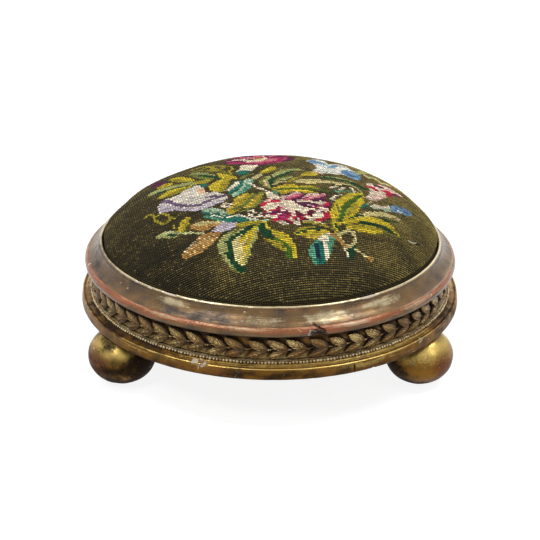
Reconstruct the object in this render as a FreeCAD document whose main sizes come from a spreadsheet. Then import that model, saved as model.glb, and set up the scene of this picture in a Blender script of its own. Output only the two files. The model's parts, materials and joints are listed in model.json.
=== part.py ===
import FreeCAD, Part
import math
import os
import Sketcher
from FreeCAD import Placement, Rotation, Vector

# A round giltwood footstool: a turned base board on three bun feet, a frieze drum with a
# laurel garland of pressed composition, a moulded rim, and a drop-in needlepoint cushion.
# Millimetres. The origin is on the drum's axis at floor level, +Z up, and the front is -Y.

# Driving dimensions: name, value, meaning
SIZES = (
    ("frieze_radius", 166.0, "outside of the frieze drum, which the rest is set out from"),
    ("base_thickness", 11.0, "base board under the frieze drum"),
    ("ledge_flat", 5.8, "drum's face to the end of the ledge's hollow"),
    ("ledge_hollow_width", 6.1, "hollow worked in the ledge behind the arris"),
    ("ledge_hollow", -0.09, "depth of that hollow, as a share of its width"),
    ("ledge_rise", 1.2, "arris to the flat of the ledge"),
    ("fascia_rake", 0.9, "how far the fascia leans in at its top"),
    ("base_edge_bevel", 1.0, "worn lower edge of the base board"),
    ("arris_width", 1.2, "narrow flat on top of the fascia"),
    ("foot_height", 51.0, "floor to the underside of the base board"),
    ("foot_radius", 31.2, "widest radius of a bun foot"),
    ("foot_floor_radius", 7.0, "flat that the foot stands on"),
    ("foot_seat_radius", 10.0, "flat that meets the base board"),
    ("foot_flats", 32, "flats that stand for the foot's round"),
    ("foot_inset", 20.2, "outside of the base board to a foot's axis"),
    ("left_foot_angle", 212.8, "bearing of the front left foot, from +X towards +Y"),
    ("right_foot_angle", 329.6, "bearing of the front right foot"),
    ("back_foot_angle", 91.2, "bearing of the back foot"),
    ("tenon_radius", 8.5, "turned tenon on top of a foot"),
    ("tenon_clearance", 0.1, "glue gap round a tenon"),
    ("frieze_wall", 20.0, "wall of the frieze drum"),
    ("frieze_height", 25.0, "base board's top to the rim"),
    ("rim_height", 22.7, "whole height of the rim moulding"),
    ("rim_landing", 6.8, "drum's face inwards to the hole that the cushion drops into"),
    ("rim_overhang", 3.6, "flat under the rim outside the drum"),
    ("nose_rise", 12.2, "underside of the rim to the shoulder above the nose"),
    ("nose_reach", 7.2, "drum's face to the shoulder above the nose"),
    ("nose_swell", 0.32, "round of the nose, as a share of its height"),
    ("shoulder_width", 1.4, "narrow step between the nose and the cavetto"),
    ("shoulder_rise", 0.8, "fall of that step"),
    ("cavetto_hollow", -0.104, "hollow above the shoulder, as a share of its width"),
    ("cavetto_top_drop", 2.7, "top of the bead to the top of the cavetto"),
    ("bead_width", 2.6, "sight-edge bead"),
    ("bead_rise", 2.0, "sight-edge bead above its quirk"),
    ("sight_ledge_width", 1.0, "ledge inside the bead"),
    ("sight_ledge_drop", 1.1, "top of the bead to that ledge"),
    ("pearl_radius", 1.5, "half the height of the pearl string"),
    ("pearl_reach", 5.0, "how far the pearl string stands out from the drum"),
    ("ornament_clearance", 0.1, "glue line behind the composition"),
    ("strip_count", 6, "lengths of garland round the drum"),
    ("strip_pairs", 10, "leaf pairs in one length"),
    ("strip_joint", 0.4, "gap where two lengths meet"),
    ("garland_gap", 0.2, "pearl string to the lower leaves"),
    ("garland_turn", 2.4, "bearing of the first leaf pair"),
    ("leaf_length", 18.4, "laurel leaf from stalk to tip"),
    ("leaf_half_width", 3.9, "half the width of a leaf"),
    ("leaf_relief", 3.9, "how far a leaf's midrib stands out"),
    ("leaf_angle", 25.0, "leaf against the stem"),
    ("stem_half_width", 1.1, "half the width of the stem"),
    ("stem_relief", 2.3, "how far the stem stands out"),
    ("cushion_clearance", 1.0, "play between the cushion and the rim"),
    ("cover_thickness", 1.6, "wool and canvas"),
    ("cushion_flats", 36, "flats that stand for the cushion's round"),
    ("hem_reach", 5.8, "drum's inner wall to the edge of the turned-under canvas"),
    ("soft_clearance", 0.3, "play between soft pieces"),
    ("crown_height", 69.3, "height of the crown's curve"),
    ("crown_spread", 2.66, "how far the crown's curve would run past the cushion's side"),
    ("crown_power", 0.61, "fullness of the crown"),
    ("crown_drop", 7.5, "top of the rim to the foot of the crown's curve"),
    ("board_thickness", 12.0, "seat board inside the cushion"),
    ("block_count", 3, "fixing blocks, each with its screw"),
    ("block_angle", 45.0, "bearing of the first fixing block"),
    ("screw_inset", 10.0, "drum's inner wall to a fixing screw"),
    ("block_length", 26.0, "fixing block along the drum's wall"),
    ("block_depth", 20.0, "fixing block from the wall inwards"),
    ("block_height", 18.0, "fixing block"),
    ("screw_radius", 2.0, "shank of a fixing screw"),
    ("screw_clearance", 0.2, "play round a screw in its block"),
    ("screw_grip", 9.0, "screw inside the seat board"),
    ("screw_head_radius", 4.0, "head of a fixing screw"),
    ("screw_head_height", 2.4, "head of a fixing screw"),
    ("screw_flats", 12, "flats that stand for a screw's round"),
    ("pilot_clearance", 0.05, "play round what is driven into wood"),
    ("tack_clearance", 0.4, "drum's inner wall to a tack's head"),
    ("tacks_per_block", 4, "tacks in the canvas between two fixing blocks"),
    ("tack_length", 8.0, "tack under its head"),
    ("tack_half_width", 0.8, "half the width of a tack's square shank"),
    ("tack_head_half_width", 2.4, "half the width of a tack's square head"),
    ("tack_head_height", 0.8, "head of a tack"),
)

# Places along the crown, as shares of the cushion's radius, and along a leaf
CROWN_STEPS = (1.0, 0.975, 0.92, 0.83, 0.70, 0.52, 0.30, 0.0)
FOOT_STEPS = 4
NOSE_STEPS = 4
HOLLOW_STEPS = 3
LEAF_STATIONS = ((0.0, 0.20), (0.22, 0.80), (0.48, 1.0), (0.78, 0.66), (1.0, 0.06))

# Heights and radii that several pieces share, as expressions on the sheet
BASE_TOP = "(Sheet.foot_height + Sheet.base_thickness)"
PAD_SEAT = f"({BASE_TOP} + Sheet.frieze_height)"
FASCIA_TOP = "(Sheet.base_thickness - Sheet.ledge_rise)"
LEDGE_END = "(Sheet.frieze_radius + Sheet.ledge_flat)"
LEDGE_START = f"({LEDGE_END} + Sheet.ledge_hollow_width)"
ARRIS = f"({LEDGE_START} + Sheet.arris_width)"
BASE_RADIUS = f"({ARRIS} + Sheet.fascia_rake)"
FOOT_CIRCLE = f"({BASE_RADIUS} - Sheet.foot_inset)"
ORNAMENT_BACK = "(Sheet.frieze_radius + Sheet.ornament_clearance)"
DRUM_BORE = "(Sheet.frieze_radius - Sheet.frieze_wall)"
RIM_BORE = "(Sheet.frieze_radius - Sheet.rim_landing)"
COVER_SIDE = f"({RIM_BORE} - Sheet.cushion_clearance)"
COVER_INSIDE = f"({COVER_SIDE} - Sheet.cover_thickness)"
SCREW_CIRCLE = f"({DRUM_BORE} - Sheet.screw_inset)"
TACK_CIRCLE = f"({DRUM_BORE} - Sheet.tack_clearance - Sheet.tack_head_half_width)"
TACK_COUNT = "(Sheet.block_count * Sheet.tacks_per_block)"
TACK_ANGLE = f"(Sheet.block_angle + 180 / {TACK_COUNT})"


def driving_sheet(doc):
    """Write the driving dimensions into the document's spreadsheet."""
    sheet = doc.addObject("Spreadsheet::Sheet", "Sheet")
    for row, (name, value, meaning) in enumerate(SIZES, 1):
        sheet.set(f"A{row}", name)
        sheet.set(f"B{row}", str(value))
        sheet.set(f"C{row}", meaning)
        sheet.setAlias(f"B{row}", name)
    doc.recompute()
    return sheet


def number(body, expression):
    """Work out an expression on the sheet as a plain number."""
    return float(body.evalExpression(expression))


def new_body(doc, name, height="0"):
    """Start a sub-part whose own zero stands at the given height."""
    body = doc.addObject("PartDesign::Body", name)
    body.Label = name
    body.setExpression("Placement.Base.z", height)
    return body


def origin_feature(body, role):
    """Find one of the body's own origin planes or axes."""
    return next(f for f in body.Origin.OriginFeatures if f.Role == role)


def new_sketch(body, name, role):
    """Attach an empty sketch to one of the body's own origin planes."""
    sketch = body.newObject("Sketcher::SketchObject", name)
    sketch.AttachmentSupport = (origin_feature(body, role), [""])
    sketch.MapMode = "FlatFace"
    return sketch


def dimension(sketch, kind, ends, expression):
    """Add a dimension to a sketch and bind it to the sheet."""
    constraint = Sketcher.Constraint(kind, *ends, number(sketch, expression))
    index = sketch.addConstraint(constraint)
    sketch.setExpression(f"Constraints[{index}]", expression)


def pin(sketch, geometry, end, x, y):
    """Tie a point of a sketch to the sheet, or to an axis where it lies on one."""
    for kind, axis, expression in (("DistanceX", -2, x), ("DistanceY", -1, y)):
        if expression == "0":
            sketch.addConstraint(Sketcher.Constraint("PointOnObject", geometry, end, axis))
        else:
            dimension(sketch, kind, (-1, 1, geometry, end), expression)


def join_corners(sketch, ends):
    """Close a chain of edges. Each entry is (edge, its first end, its last end)."""
    for i, (edge, _, last) in enumerate(ends):
        following = ends[(i + 1) % len(ends)]
        corner = Sketcher.Constraint("Coincident", edge, last, following[0], following[1])
        sketch.addConstraint(corner)


def polygon(sketch, corners):
    """Draw a closed polygon and join its corners."""
    for i, corner in enumerate(corners):
        sketch.addGeometry(Part.LineSegment(corner, corners[(i + 1) % len(corners)]))
    join_corners(sketch, [(i, 1, 2) for i in range(len(corners))])


def swell(start, finish, share, steps):
    """Points of a flat curve from start towards finish, rounded out or hollowed by a share."""
    points = []
    for step in range(steps):
        along = step / steps
        lift = f"{4 * along * (1 - along)} * {share}"
        run, rise = (f"({b} - ({a}))" for a, b in zip(start, finish))
        points.append(
            (
                f"{start[0]} + {along} * {run} + {lift} * {rise}",
                f"{start[1]} + {along} * {rise} - {lift} * {run}",
            )
        )
    return points


def outline(body, name, points):
    """Draw a closed outline through points given as expressions on the sheet."""
    sketch = new_sketch(body, name, "XZ_Plane")
    polygon(sketch, [Vector(number(body, x), number(body, y), 0) for x, y in points])
    for edge, (x, y) in enumerate(points):
        pin(sketch, edge, 1, x, y)
    return sketch


def turn(body, sketch):
    """Turn an outline once round the body's vertical axis, as on a lathe."""
    feature = body.newObject("PartDesign::Revolution", "Turned")
    feature.Profile = sketch
    feature.ReferenceAxis = (sketch, ["V_Axis"])
    feature.Angle = 360
    sketch.Visibility = False
    return feature


def spot_sketch(body, name, distance, bearing="0"):
    """An empty horizontal sketch whose own zero lies at a distance along a bearing."""
    sketch = new_sketch(body, name, "XY_Plane")
    sketch.setExpression("AttachmentOffset.Base.x", f"{distance} * cos({bearing} * 1 deg)")
    sketch.setExpression("AttachmentOffset.Base.y", f"{distance} * sin({bearing} * 1 deg)")
    sketch.Visibility = False
    return sketch


def round_hole(body, name, radius, distance, bearing="0"):
    """The circle for a hole at a distance along a bearing."""
    sketch = spot_sketch(body, name, distance, bearing)
    sketch.addGeometry(Part.Circle(Vector(), Vector(0, 0, 1), number(body, radius)))
    sketch.addConstraint(Sketcher.Constraint("Coincident", 0, 3, -1, 1))
    dimension(sketch, "Radius", (0,), radius)
    return sketch


def square(body, name, half, height="0"):
    """A square on the tacks' circle, at a height above the body's zero."""
    sketch = spot_sketch(body, name, TACK_CIRCLE)
    sketch.setExpression("AttachmentOffset.Base.z", height)
    reach = number(body, half)
    corners = ((-reach, -reach), (reach, -reach), (reach, reach), (-reach, reach))
    polygon(sketch, [Vector(x, y, 0) for x, y in corners])
    sketch.addConstraint(Sketcher.Constraint("Horizontal", 0))
    sketch.addConstraint(Sketcher.Constraint("Vertical", 1))
    sketch.addConstraint(Sketcher.Constraint("Horizontal", 2))
    sketch.addConstraint(Sketcher.Constraint("Symmetric", 0, 1, 1, 2, -1, 1))
    dimension(sketch, "DistanceX", (0, 1, 0, 2), f"2 * {half}")
    dimension(sketch, "DistanceY", (1, 1, 1, 2), f"2 * {half}")
    return sketch


def bore(body, sketch, depth=None):
    """Cut a sketch upwards into the body, to a depth or right through."""
    feature = body.newObject("PartDesign::Pocket", "Bore")
    feature.Profile = sketch
    feature.Reversed = True
    if depth is None:
        feature.Type = "ThroughAll"
    else:
        feature.setExpression("Length", depth)
    return feature


def ring_of(body, name, originals, count):
    """Repeat features evenly round the drum's axis."""
    pattern = body.newObject("PartDesign::PolarPattern", name)
    pattern.Originals = originals
    pattern.Axis = (origin_feature(body, "Z_Axis"), [""])
    pattern.Angle = 360
    pattern.setExpression("Occurrences", count)
    body.Tip = pattern
    return pattern


def turn_body(body, bearing):
    """Turn a sub-part to a bearing about the drum's axis."""
    body.Placement = Placement(Vector(), Rotation(Vector(0, 0, 1), 1))
    body.setExpression("Placement.Rotation.Angle", bearing)


def spun_in_flats(feature, points, flats):
    """Turn a closed outline round the vertical axis as a solid with flat sides."""
    places = [(number(feature, x), number(feature, y)) for x, y in points]
    count = int(number(feature, flats))
    bearings = [2 * math.pi * k / count for k in range(count + 1)]
    faces = []
    for here, there in zip(places, places[1:] + places[:1]):
        if here[0] < 1e-6 and there[0] < 1e-6:
            continue
        for first, last in zip(bearings, bearings[1:]):
            corners = []
            for (radius, height), bearing in ((here, first), (there, first), (there, last), (here, last)):
                corner = Vector(radius * math.cos(bearing), radius * math.sin(bearing), height)
                if all(corner.distanceToPoint(other) > 1e-6 for other in corners):
                    corners.append(corner)
            faces.append(flat_face(corners))
    return solid_of(faces)


def flat_face(corners):
    """A flat face on its corners."""
    return Part.Face(Part.makePolygon(corners + corners[:1]))


def solid_of(faces):
    """Close a set of flat faces into one solid."""
    shell = Part.makeShell(faces)
    shell.sewShape()
    solid = Part.makeSolid(Part.Shell(shell.Faces))
    if solid.Volume < 0:
        solid.reverse()
    return solid.removeSplitter()


def new_form(doc, name):
    """Start a sub-part whose flat-sided shape is set from the sheet's sizes."""
    feature = doc.addObject("Part::Feature", name)
    feature.Label = name
    return feature


def base_board(doc):
    """Turned base board: raked fascia, arris, hollowed ledge, and a mortise for each foot."""
    body = new_body(doc, "base_board", "Sheet.foot_height")
    hollow_end = (LEDGE_END, "Sheet.base_thickness")
    points = [
        ("0", "0"),
        (f"{BASE_RADIUS} - Sheet.base_edge_bevel", "0"),
        (BASE_RADIUS, "Sheet.base_edge_bevel"),
        (ARRIS, FASCIA_TOP),
    ]
    points += swell((LEDGE_START, FASCIA_TOP), hollow_end, "Sheet.ledge_hollow", 2)
    points += [hollow_end, ("0", "Sheet.base_thickness")]
    turn(body, outline(body, "BaseProfile", points))
    for side in ("left", "right", "back"):
        radius = "Sheet.tenon_radius + Sheet.tenon_clearance"
        bearing = f"Sheet.{side}_foot_angle"
        bore(body, round_hole(body, "Mortise", radius, FOOT_CIRCLE, bearing))


def bun_foot(doc, name, side):
    """Turned bun foot with its tenon: a flattened ball, cut flat where it stands and seats."""
    foot = new_form(doc, name)
    floor_rise = "sqrt(1 - (Sheet.foot_floor_radius / Sheet.foot_radius)^2)"
    seat_rise = "sqrt(1 - (Sheet.foot_seat_radius / Sheet.foot_radius)^2)"
    half = f"(Sheet.foot_height / ({floor_rise} + {seat_rise}))"
    points = [("0", "0"), ("Sheet.foot_floor_radius", "0")]
    for step in range(1 - FOOT_STEPS, FOOT_STEPS + 1):
        rise = floor_rise if step < 0 else seat_rise
        bearing = f"({step / FOOT_STEPS} * asin({rise}))"
        height = f"{half} * ({floor_rise} + sin({bearing}))"
        points.append((f"Sheet.foot_radius * cos({bearing})", height))
    top = "Sheet.foot_height + Sheet.base_thickness"
    points += [("Sheet.tenon_radius", "Sheet.foot_height"), ("Sheet.tenon_radius", top), ("0", top)]
    foot.Shape = spun_in_flats(foot, points, "Sheet.foot_flats")
    bearing = math.radians(number(foot, f"Sheet.{side}_foot_angle"))
    reach = number(foot, FOOT_CIRCLE)
    centre = Vector(reach * math.cos(bearing), reach * math.sin(bearing), 0)
    foot.Placement = Placement(centre, Rotation())


def frieze_drum(doc):
    """Plain turned drum that carries the garland outside and the cushion on its top edge."""
    body = new_body(doc, "frieze_drum", BASE_TOP)
    points = (
        (DRUM_BORE, "0"),
        ("Sheet.frieze_radius", "0"),
        ("Sheet.frieze_radius", "Sheet.frieze_height"),
        (DRUM_BORE, "Sheet.frieze_height"),
    )
    turn(body, outline(body, "FriezeProfile", points))


def rim_moulding(doc):
    """Turned rim: rounded nose, shoulder, broad cavetto, sight-edge bead and inner ledge."""
    body = new_body(doc, "rim_moulding", PAD_SEAT)
    shoulder = "(Sheet.frieze_radius + Sheet.nose_reach)"
    bead_inner = f"({RIM_BORE} + Sheet.sight_ledge_width)"
    bead_outer = f"({bead_inner} + Sheet.bead_width)"
    quirk = "(Sheet.rim_height - Sheet.bead_rise)"
    ledge = "(Sheet.rim_height - Sheet.sight_ledge_drop)"
    nose = ("Sheet.frieze_radius + Sheet.rim_overhang", "0")
    nose_top = (shoulder, "Sheet.nose_rise")
    hollow = (f"{shoulder} - Sheet.shoulder_width", "Sheet.nose_rise + Sheet.shoulder_rise")
    hollow_top = (f"{bead_outer} + Sheet.bead_width / 4", "Sheet.rim_height - Sheet.cavetto_top_drop")
    points = [(RIM_BORE, "0")]
    points += swell(nose, nose_top, "Sheet.nose_swell", NOSE_STEPS) + [nose_top]
    points += swell(hollow, hollow_top, "Sheet.cavetto_hollow", HOLLOW_STEPS) + [hollow_top]
    points += [
        (bead_outer, quirk),
        (f"{bead_outer} - Sheet.bead_width / 4", "Sheet.rim_height"),
        (f"{bead_inner} + Sheet.bead_width / 4", "Sheet.rim_height"),
        (bead_inner, ledge),
        (RIM_BORE, ledge),
    ]
    turn(body, outline(body, "RimProfile", points))


def pearl_string(doc):
    """Run of small pearls at the foot of the frieze, here as the string's own outline."""
    body = new_body(doc, "pearl_string", BASE_TOP)
    crest = f"{ORNAMENT_BACK} + Sheet.pearl_reach"
    points = (
        (ORNAMENT_BACK, "0"),
        (f"{crest} - Sheet.pearl_radius / 2", "0"),
        (crest, "Sheet.pearl_radius"),
        (f"{crest} - Sheet.pearl_radius", "2 * Sheet.pearl_radius"),
        (ORNAMENT_BACK, "2 * Sheet.pearl_radius"),
    )
    turn(body, outline(body, "PearlProfile", points))


def leaf(feature, upward, bearing):
    """One laurel leaf at a bearing: a flat back and a raised midrib, from its stalk to its tip."""
    length, half, relief, back, slant = (
        number(feature, expression)
        for expression in (
            "Sheet.leaf_length",
            "Sheet.leaf_half_width",
            "Sheet.leaf_relief",
            ORNAMENT_BACK,
            "Sheet.leaf_angle * pi / 180",
        )
    )
    side = 1 if upward else -1
    along = Vector(0, -math.cos(slant), side * math.sin(slant))
    across = Vector(0, side * math.sin(slant), math.cos(slant))
    stalk = Vector(back, length / 2 * math.cos(slant), 0)
    sections = []
    for station, width in LEAF_STATIONS:
        middle = stalk + along * (length * station)
        rib = middle + Vector(relief * width, 0, 0)
        sections.append((middle - across * (half * width), rib, middle + across * (half * width)))
    faces = [flat_face(list(sections[0])), flat_face(list(sections[-1]))]
    faces.append(flat_face([s[0] for s in sections] + [s[2] for s in reversed(sections)]))
    for here, there in zip(sections, sections[1:]):
        faces.append(flat_face([here[0], there[0], there[1], here[1]]))
        faces.append(flat_face([here[2], there[2], there[1], here[1]]))
    shape = solid_of(faces)
    shape.rotate(Vector(), Vector(0, 0, 1), bearing)
    return shape


def garland_stem(feature, pitch, pairs):
    """The stem along the middle of the garland, one straight length to each leaf pair."""
    half = number(feature, "Sheet.stem_half_width")
    back = number(feature, ORNAMENT_BACK)
    crest = back + number(feature, "Sheet.stem_relief")
    joint = number(feature, "Sheet.strip_joint / 2 / Sheet.frieze_radius * 180 / pi")
    bearings = [(k - 0.5) * pitch for k in range(pairs + 1)]
    bearings[0] += joint
    bearings[-1] -= joint
    reach = 1 / math.cos(math.radians(pitch / 2))
    rings = []
    for bearing in bearings:
        outward = Vector(math.cos(math.radians(bearing)), math.sin(math.radians(bearing)), 0) * reach
        corners = ((back, -half), (back, half), (crest, half / 2), (crest, -half / 2))
        rings.append([outward * radius + Vector(0, 0, height) for radius, height in corners])
    faces = [flat_face(rings[0]), flat_face(rings[-1])]
    for here, there in zip(rings, rings[1:]):
        for i in range(4):
            j = (i + 1) % 4
            faces.append(flat_face([here[i], here[j], there[j], there[i]]))
    return solid_of(faces)


def laurel_strips(doc):
    """Pressed lengths of garland round the drum, each a stem with paired leaves in one piece."""
    count = int(number(doc.Sheet, "strip_count"))
    pairs = int(number(doc.Sheet, "strip_pairs"))
    pitch = 360 / (count * pairs)
    slant = math.radians(number(doc.Sheet, "leaf_angle"))
    rise = number(doc.Sheet, "leaf_length") * math.sin(slant)
    spread = number(doc.Sheet, "leaf_half_width") * math.cos(slant)
    reach = max(station * rise + width * spread for station, width in LEAF_STATIONS)
    garland = None
    for index in range(count):
        strip = new_form(doc, f"laurel_strip_{index + 1}")
        if garland is None:
            leaves = [leaf(strip, up, k * pitch) for k in range(pairs) for up in (True, False)]
            garland = garland_stem(strip, pitch, pairs).multiFuse(leaves).removeSplitter()
        strip.Shape = garland
        pearls_top = number(strip, f"{BASE_TOP} + 2 * Sheet.pearl_radius")
        middle = pearls_top + number(strip, "Sheet.garland_gap") + reach
        bearing = index * 360 / count + number(strip, "Sheet.garland_turn")
        strip.Placement = Placement(Vector(0, 0, middle), Rotation(Vector(0, 0, 1), bearing))


def crown(share):
    """Height of the cushion's outside above its seat, at a share of its radius."""
    reach = f"({COVER_SIDE} * {share} / ({COVER_SIDE} + Sheet.crown_spread))"
    fall = f"(1 - {reach}^2)^Sheet.crown_power"
    return f"(Sheet.rim_height - Sheet.crown_drop + Sheet.crown_height * {fall})"


def crown_points(side, inset):
    """The crown from its side to its top, inset by a skin; side is its radius there."""
    return [(f"{side} * {share}" if share else "0", f"{crown(share)} - {inset}") for share in CROWN_STEPS]


def needlepoint_cover(doc):
    """Wool and canvas cover: crowned top, upright side, and a hem turned under the board."""
    cover = new_form(doc, "needlepoint_cover")
    hem = f"{DRUM_BORE} - Sheet.hem_reach"
    points = [(hem, "0"), (COVER_SIDE, "0")]
    points += crown_points(COVER_SIDE, "0")
    points += crown_points(COVER_INSIDE, "Sheet.cover_thickness")[::-1]
    points += [(COVER_INSIDE, "Sheet.cover_thickness"), (hem, "Sheet.cover_thickness")]
    skin = spun_in_flats(cover, points, "Sheet.cushion_flats")
    half = number(cover, "Sheet.tack_half_width + Sheet.pilot_clearance")
    depth = number(cover, "3 * Sheet.cover_thickness")
    corner = Vector(number(cover, TACK_CIRCLE) - half, -half, -depth / 2)
    hole = Part.makeBox(2 * half, 2 * half, depth, corner)
    first = number(cover, TACK_ANGLE)
    count = int(number(cover, TACK_COUNT))
    bearings = [first + 360 * k / count for k in range(count)]
    cover.Shape = skin.cut([hole.rotated(Vector(), Vector(0, 0, 1), bearing) for bearing in bearings])
    cover.Placement = Placement(Vector(0, 0, number(cover, PAD_SEAT)), Rotation())


def horsehair_stuffing(doc):
    """Horsehair pad under the cover, domed on the seat board."""
    stuffing = new_form(doc, "horsehair_stuffing")
    skin = "(Sheet.cover_thickness + Sheet.soft_clearance)"
    floor = "Sheet.cover_thickness + Sheet.board_thickness"
    side = f"({COVER_SIDE} - {skin})"
    points = [("0", floor), (side, floor)] + crown_points(side, skin)
    stuffing.Shape = spun_in_flats(stuffing, points, "Sheet.cushion_flats")
    stuffing.Placement = Placement(Vector(0, 0, number(stuffing, PAD_SEAT)), Rotation())


def seat_board(doc):
    """Round board that carries the stuffing and rests on the drum's top edge."""
    body = new_body(doc, "seat_board", f"{PAD_SEAT} + Sheet.cover_thickness")
    turn_body(body, TACK_ANGLE)
    side = f"({COVER_INSIDE} * cos(180 deg / Sheet.cushion_flats) - Sheet.soft_clearance)"
    points = (("0", "0"), (side, "0"), (side, "Sheet.board_thickness"), ("0", "Sheet.board_thickness"))
    turn(body, outline(body, "BoardProfile", points))
    radius = "Sheet.screw_radius + Sheet.pilot_clearance"
    pilot = round_hole(body, "PilotHole", radius, SCREW_CIRCLE, f"(Sheet.block_angle - {TACK_ANGLE})")
    ring_of(body, "PilotHoles", [bore(body, pilot, "Sheet.screw_grip")], "Sheet.block_count")
    half = "(Sheet.tack_half_width + Sheet.pilot_clearance)"
    depth = "Sheet.tack_length - Sheet.cover_thickness"
    ring_of(body, "TackHoles", [bore(body, square(body, "TackHole", half), depth)], TACK_COUNT)


def fixing_blocks(doc):
    """Blocks glued inside the drum, which the fixing screws pass through."""
    body = new_body(doc, "pad_fixing_blocks", f"{PAD_SEAT} - Sheet.block_height")
    turn_body(body, "Sheet.block_angle")
    sketch = new_sketch(body, "BlockSection", "XY_Plane")
    sketch.Visibility = False
    face = f"sqrt({DRUM_BORE}^2 - (Sheet.block_length / 2)^2)"
    outer = number(body, face)
    inner = outer - number(body, "Sheet.block_depth")
    half = number(body, "Sheet.block_length / 2")
    corners = ((inner, -half), (outer, -half), (outer, half), (inner, half))
    polygon(sketch, [Vector(x, y, 0) for x, y in corners])
    sketch.addConstraint(Sketcher.Constraint("Symmetric", 1, 1, 1, 2, -1))
    sketch.addConstraint(Sketcher.Constraint("Symmetric", 3, 1, 3, 2, -1))
    dimension(sketch, "DistanceX", (-1, 1, 1, 1), face)
    dimension(sketch, "DistanceX", (0, 1, 0, 2), "Sheet.block_depth")
    dimension(sketch, "DistanceY", (1, 1, 1, 2), "Sheet.block_length")
    dimension(sketch, "DistanceY", (3, 2, 3, 1), "Sheet.block_length")
    block = body.newObject("PartDesign::Pad", "Block")
    block.Profile = sketch
    block.setExpression("Length", "Sheet.block_height")
    radius = "Sheet.screw_radius + Sheet.screw_clearance"
    hole = bore(body, round_hole(body, "ScrewHole", radius, SCREW_CIRCLE))
    ring_of(body, "Blocks", [block, hole], "Sheet.block_count")


def fixing_screws(doc):
    """Screws up through the blocks into the seat board."""
    height = f"{PAD_SEAT} - Sheet.block_height - Sheet.screw_head_height"
    body = new_body(doc, "pad_fixing_screws", height)
    turn_body(body, "Sheet.block_angle")
    head = prism(body, "Head", "Sheet.screw_head_radius", "0", "Sheet.screw_head_height")
    grip = "Sheet.screw_grip - Sheet.pilot_clearance"
    length = f"Sheet.block_height + Sheet.cover_thickness + {grip}"
    shank = prism(body, "Shank", "Sheet.screw_radius", "Sheet.screw_head_height", length)
    ring_of(body, "Screws", [head, shank], "Sheet.block_count")


def prism(body, name, radius, foot, length):
    """An upright prism on the screws' circle, from a height above the body's zero."""
    feature = body.newObject("PartDesign::AdditivePrism", name)
    feature.AttachmentSupport = (origin_feature(body, "XY_Plane"), [""])
    feature.MapMode = "FlatFace"
    feature.setExpression("AttachmentOffset.Base.x", SCREW_CIRCLE)
    feature.setExpression("AttachmentOffset.Base.z", foot)
    feature.setExpression("Polygon", "Sheet.screw_flats")
    feature.setExpression("Circumradius", radius)
    feature.setExpression("Height", length)
    return feature


def cover_tacks(doc):
    """Cut tacks that hold the turned-under canvas to the seat board."""
    body = new_body(doc, "cover_tacks", f"{PAD_SEAT} - Sheet.tack_head_height")
    turn_body(body, TACK_ANGLE)
    head = body.newObject("PartDesign::Pad", "Head")
    head.Profile = square(body, "HeadSection", "Sheet.tack_head_half_width")
    head.setExpression("Length", "Sheet.tack_head_height")
    top = "Sheet.tack_head_height"
    root = square(body, "ShankRoot", "Sheet.tack_half_width", top)
    tip = f"{top} + Sheet.tack_length - Sheet.pilot_clearance"
    point = square(body, "ShankPoint", "(Sheet.tack_half_width / 5)", tip)
    shank = body.newObject("PartDesign::AdditiveLoft", "Shank")
    shank.Profile = root
    shank.Sections = [point]
    shank.Ruled = True
    ring_of(body, "Tacks", [head, shank], TACK_COUNT)


def main():
    doc = FreeCAD.newDocument("footstool")
    driving_sheet(doc)
    base_board(doc)
    for name, side in (
        ("foot_front_left", "left"),
        ("foot_front_right", "right"),
        ("foot_back", "back"),
    ):
        bun_foot(doc, name, side)
    frieze_drum(doc)
    rim_moulding(doc)
    pearl_string(doc)
    laurel_strips(doc)
    seat_board(doc)
    horsehair_stuffing(doc)
    needlepoint_cover(doc)
    fixing_blocks(doc)
    fixing_screws(doc)
    cover_tacks(doc)
    doc.recompute()
    write_parts(doc)


def write_parts(doc):
    """Check every object, then write each sub-part to its own file."""
    for item in doc.Objects:
        if "Invalid" in item.State or "Error" in item.State:
            raise RuntimeError(f"{item.Label} did not build: {item.State}")
    parts = [item for item in doc.Objects if item.TypeId in ("PartDesign::Body", "Part::Feature")]
    for part in parts:
        if part.Shape.isNull() or not part.Shape.isValid():
            raise RuntimeError(f"{part.Label} has no valid shape")
    os.makedirs("parts", exist_ok=True)
    for part in parts:
        part.Shape.exportStep(f"parts/{part.Label}.step")
        box = part.Shape.BoundBox
        print(part.Label, len(part.Shape.Solids), round(part.Shape.Volume / 1000, 2), "cm3", box)


main()
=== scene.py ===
import json
import math

import bmesh
import bpy
import numpy as np
from bpy.props import FloatProperty, FloatVectorProperty, IntProperty, PointerProperty
from mathutils import Matrix, Vector, noise

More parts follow.
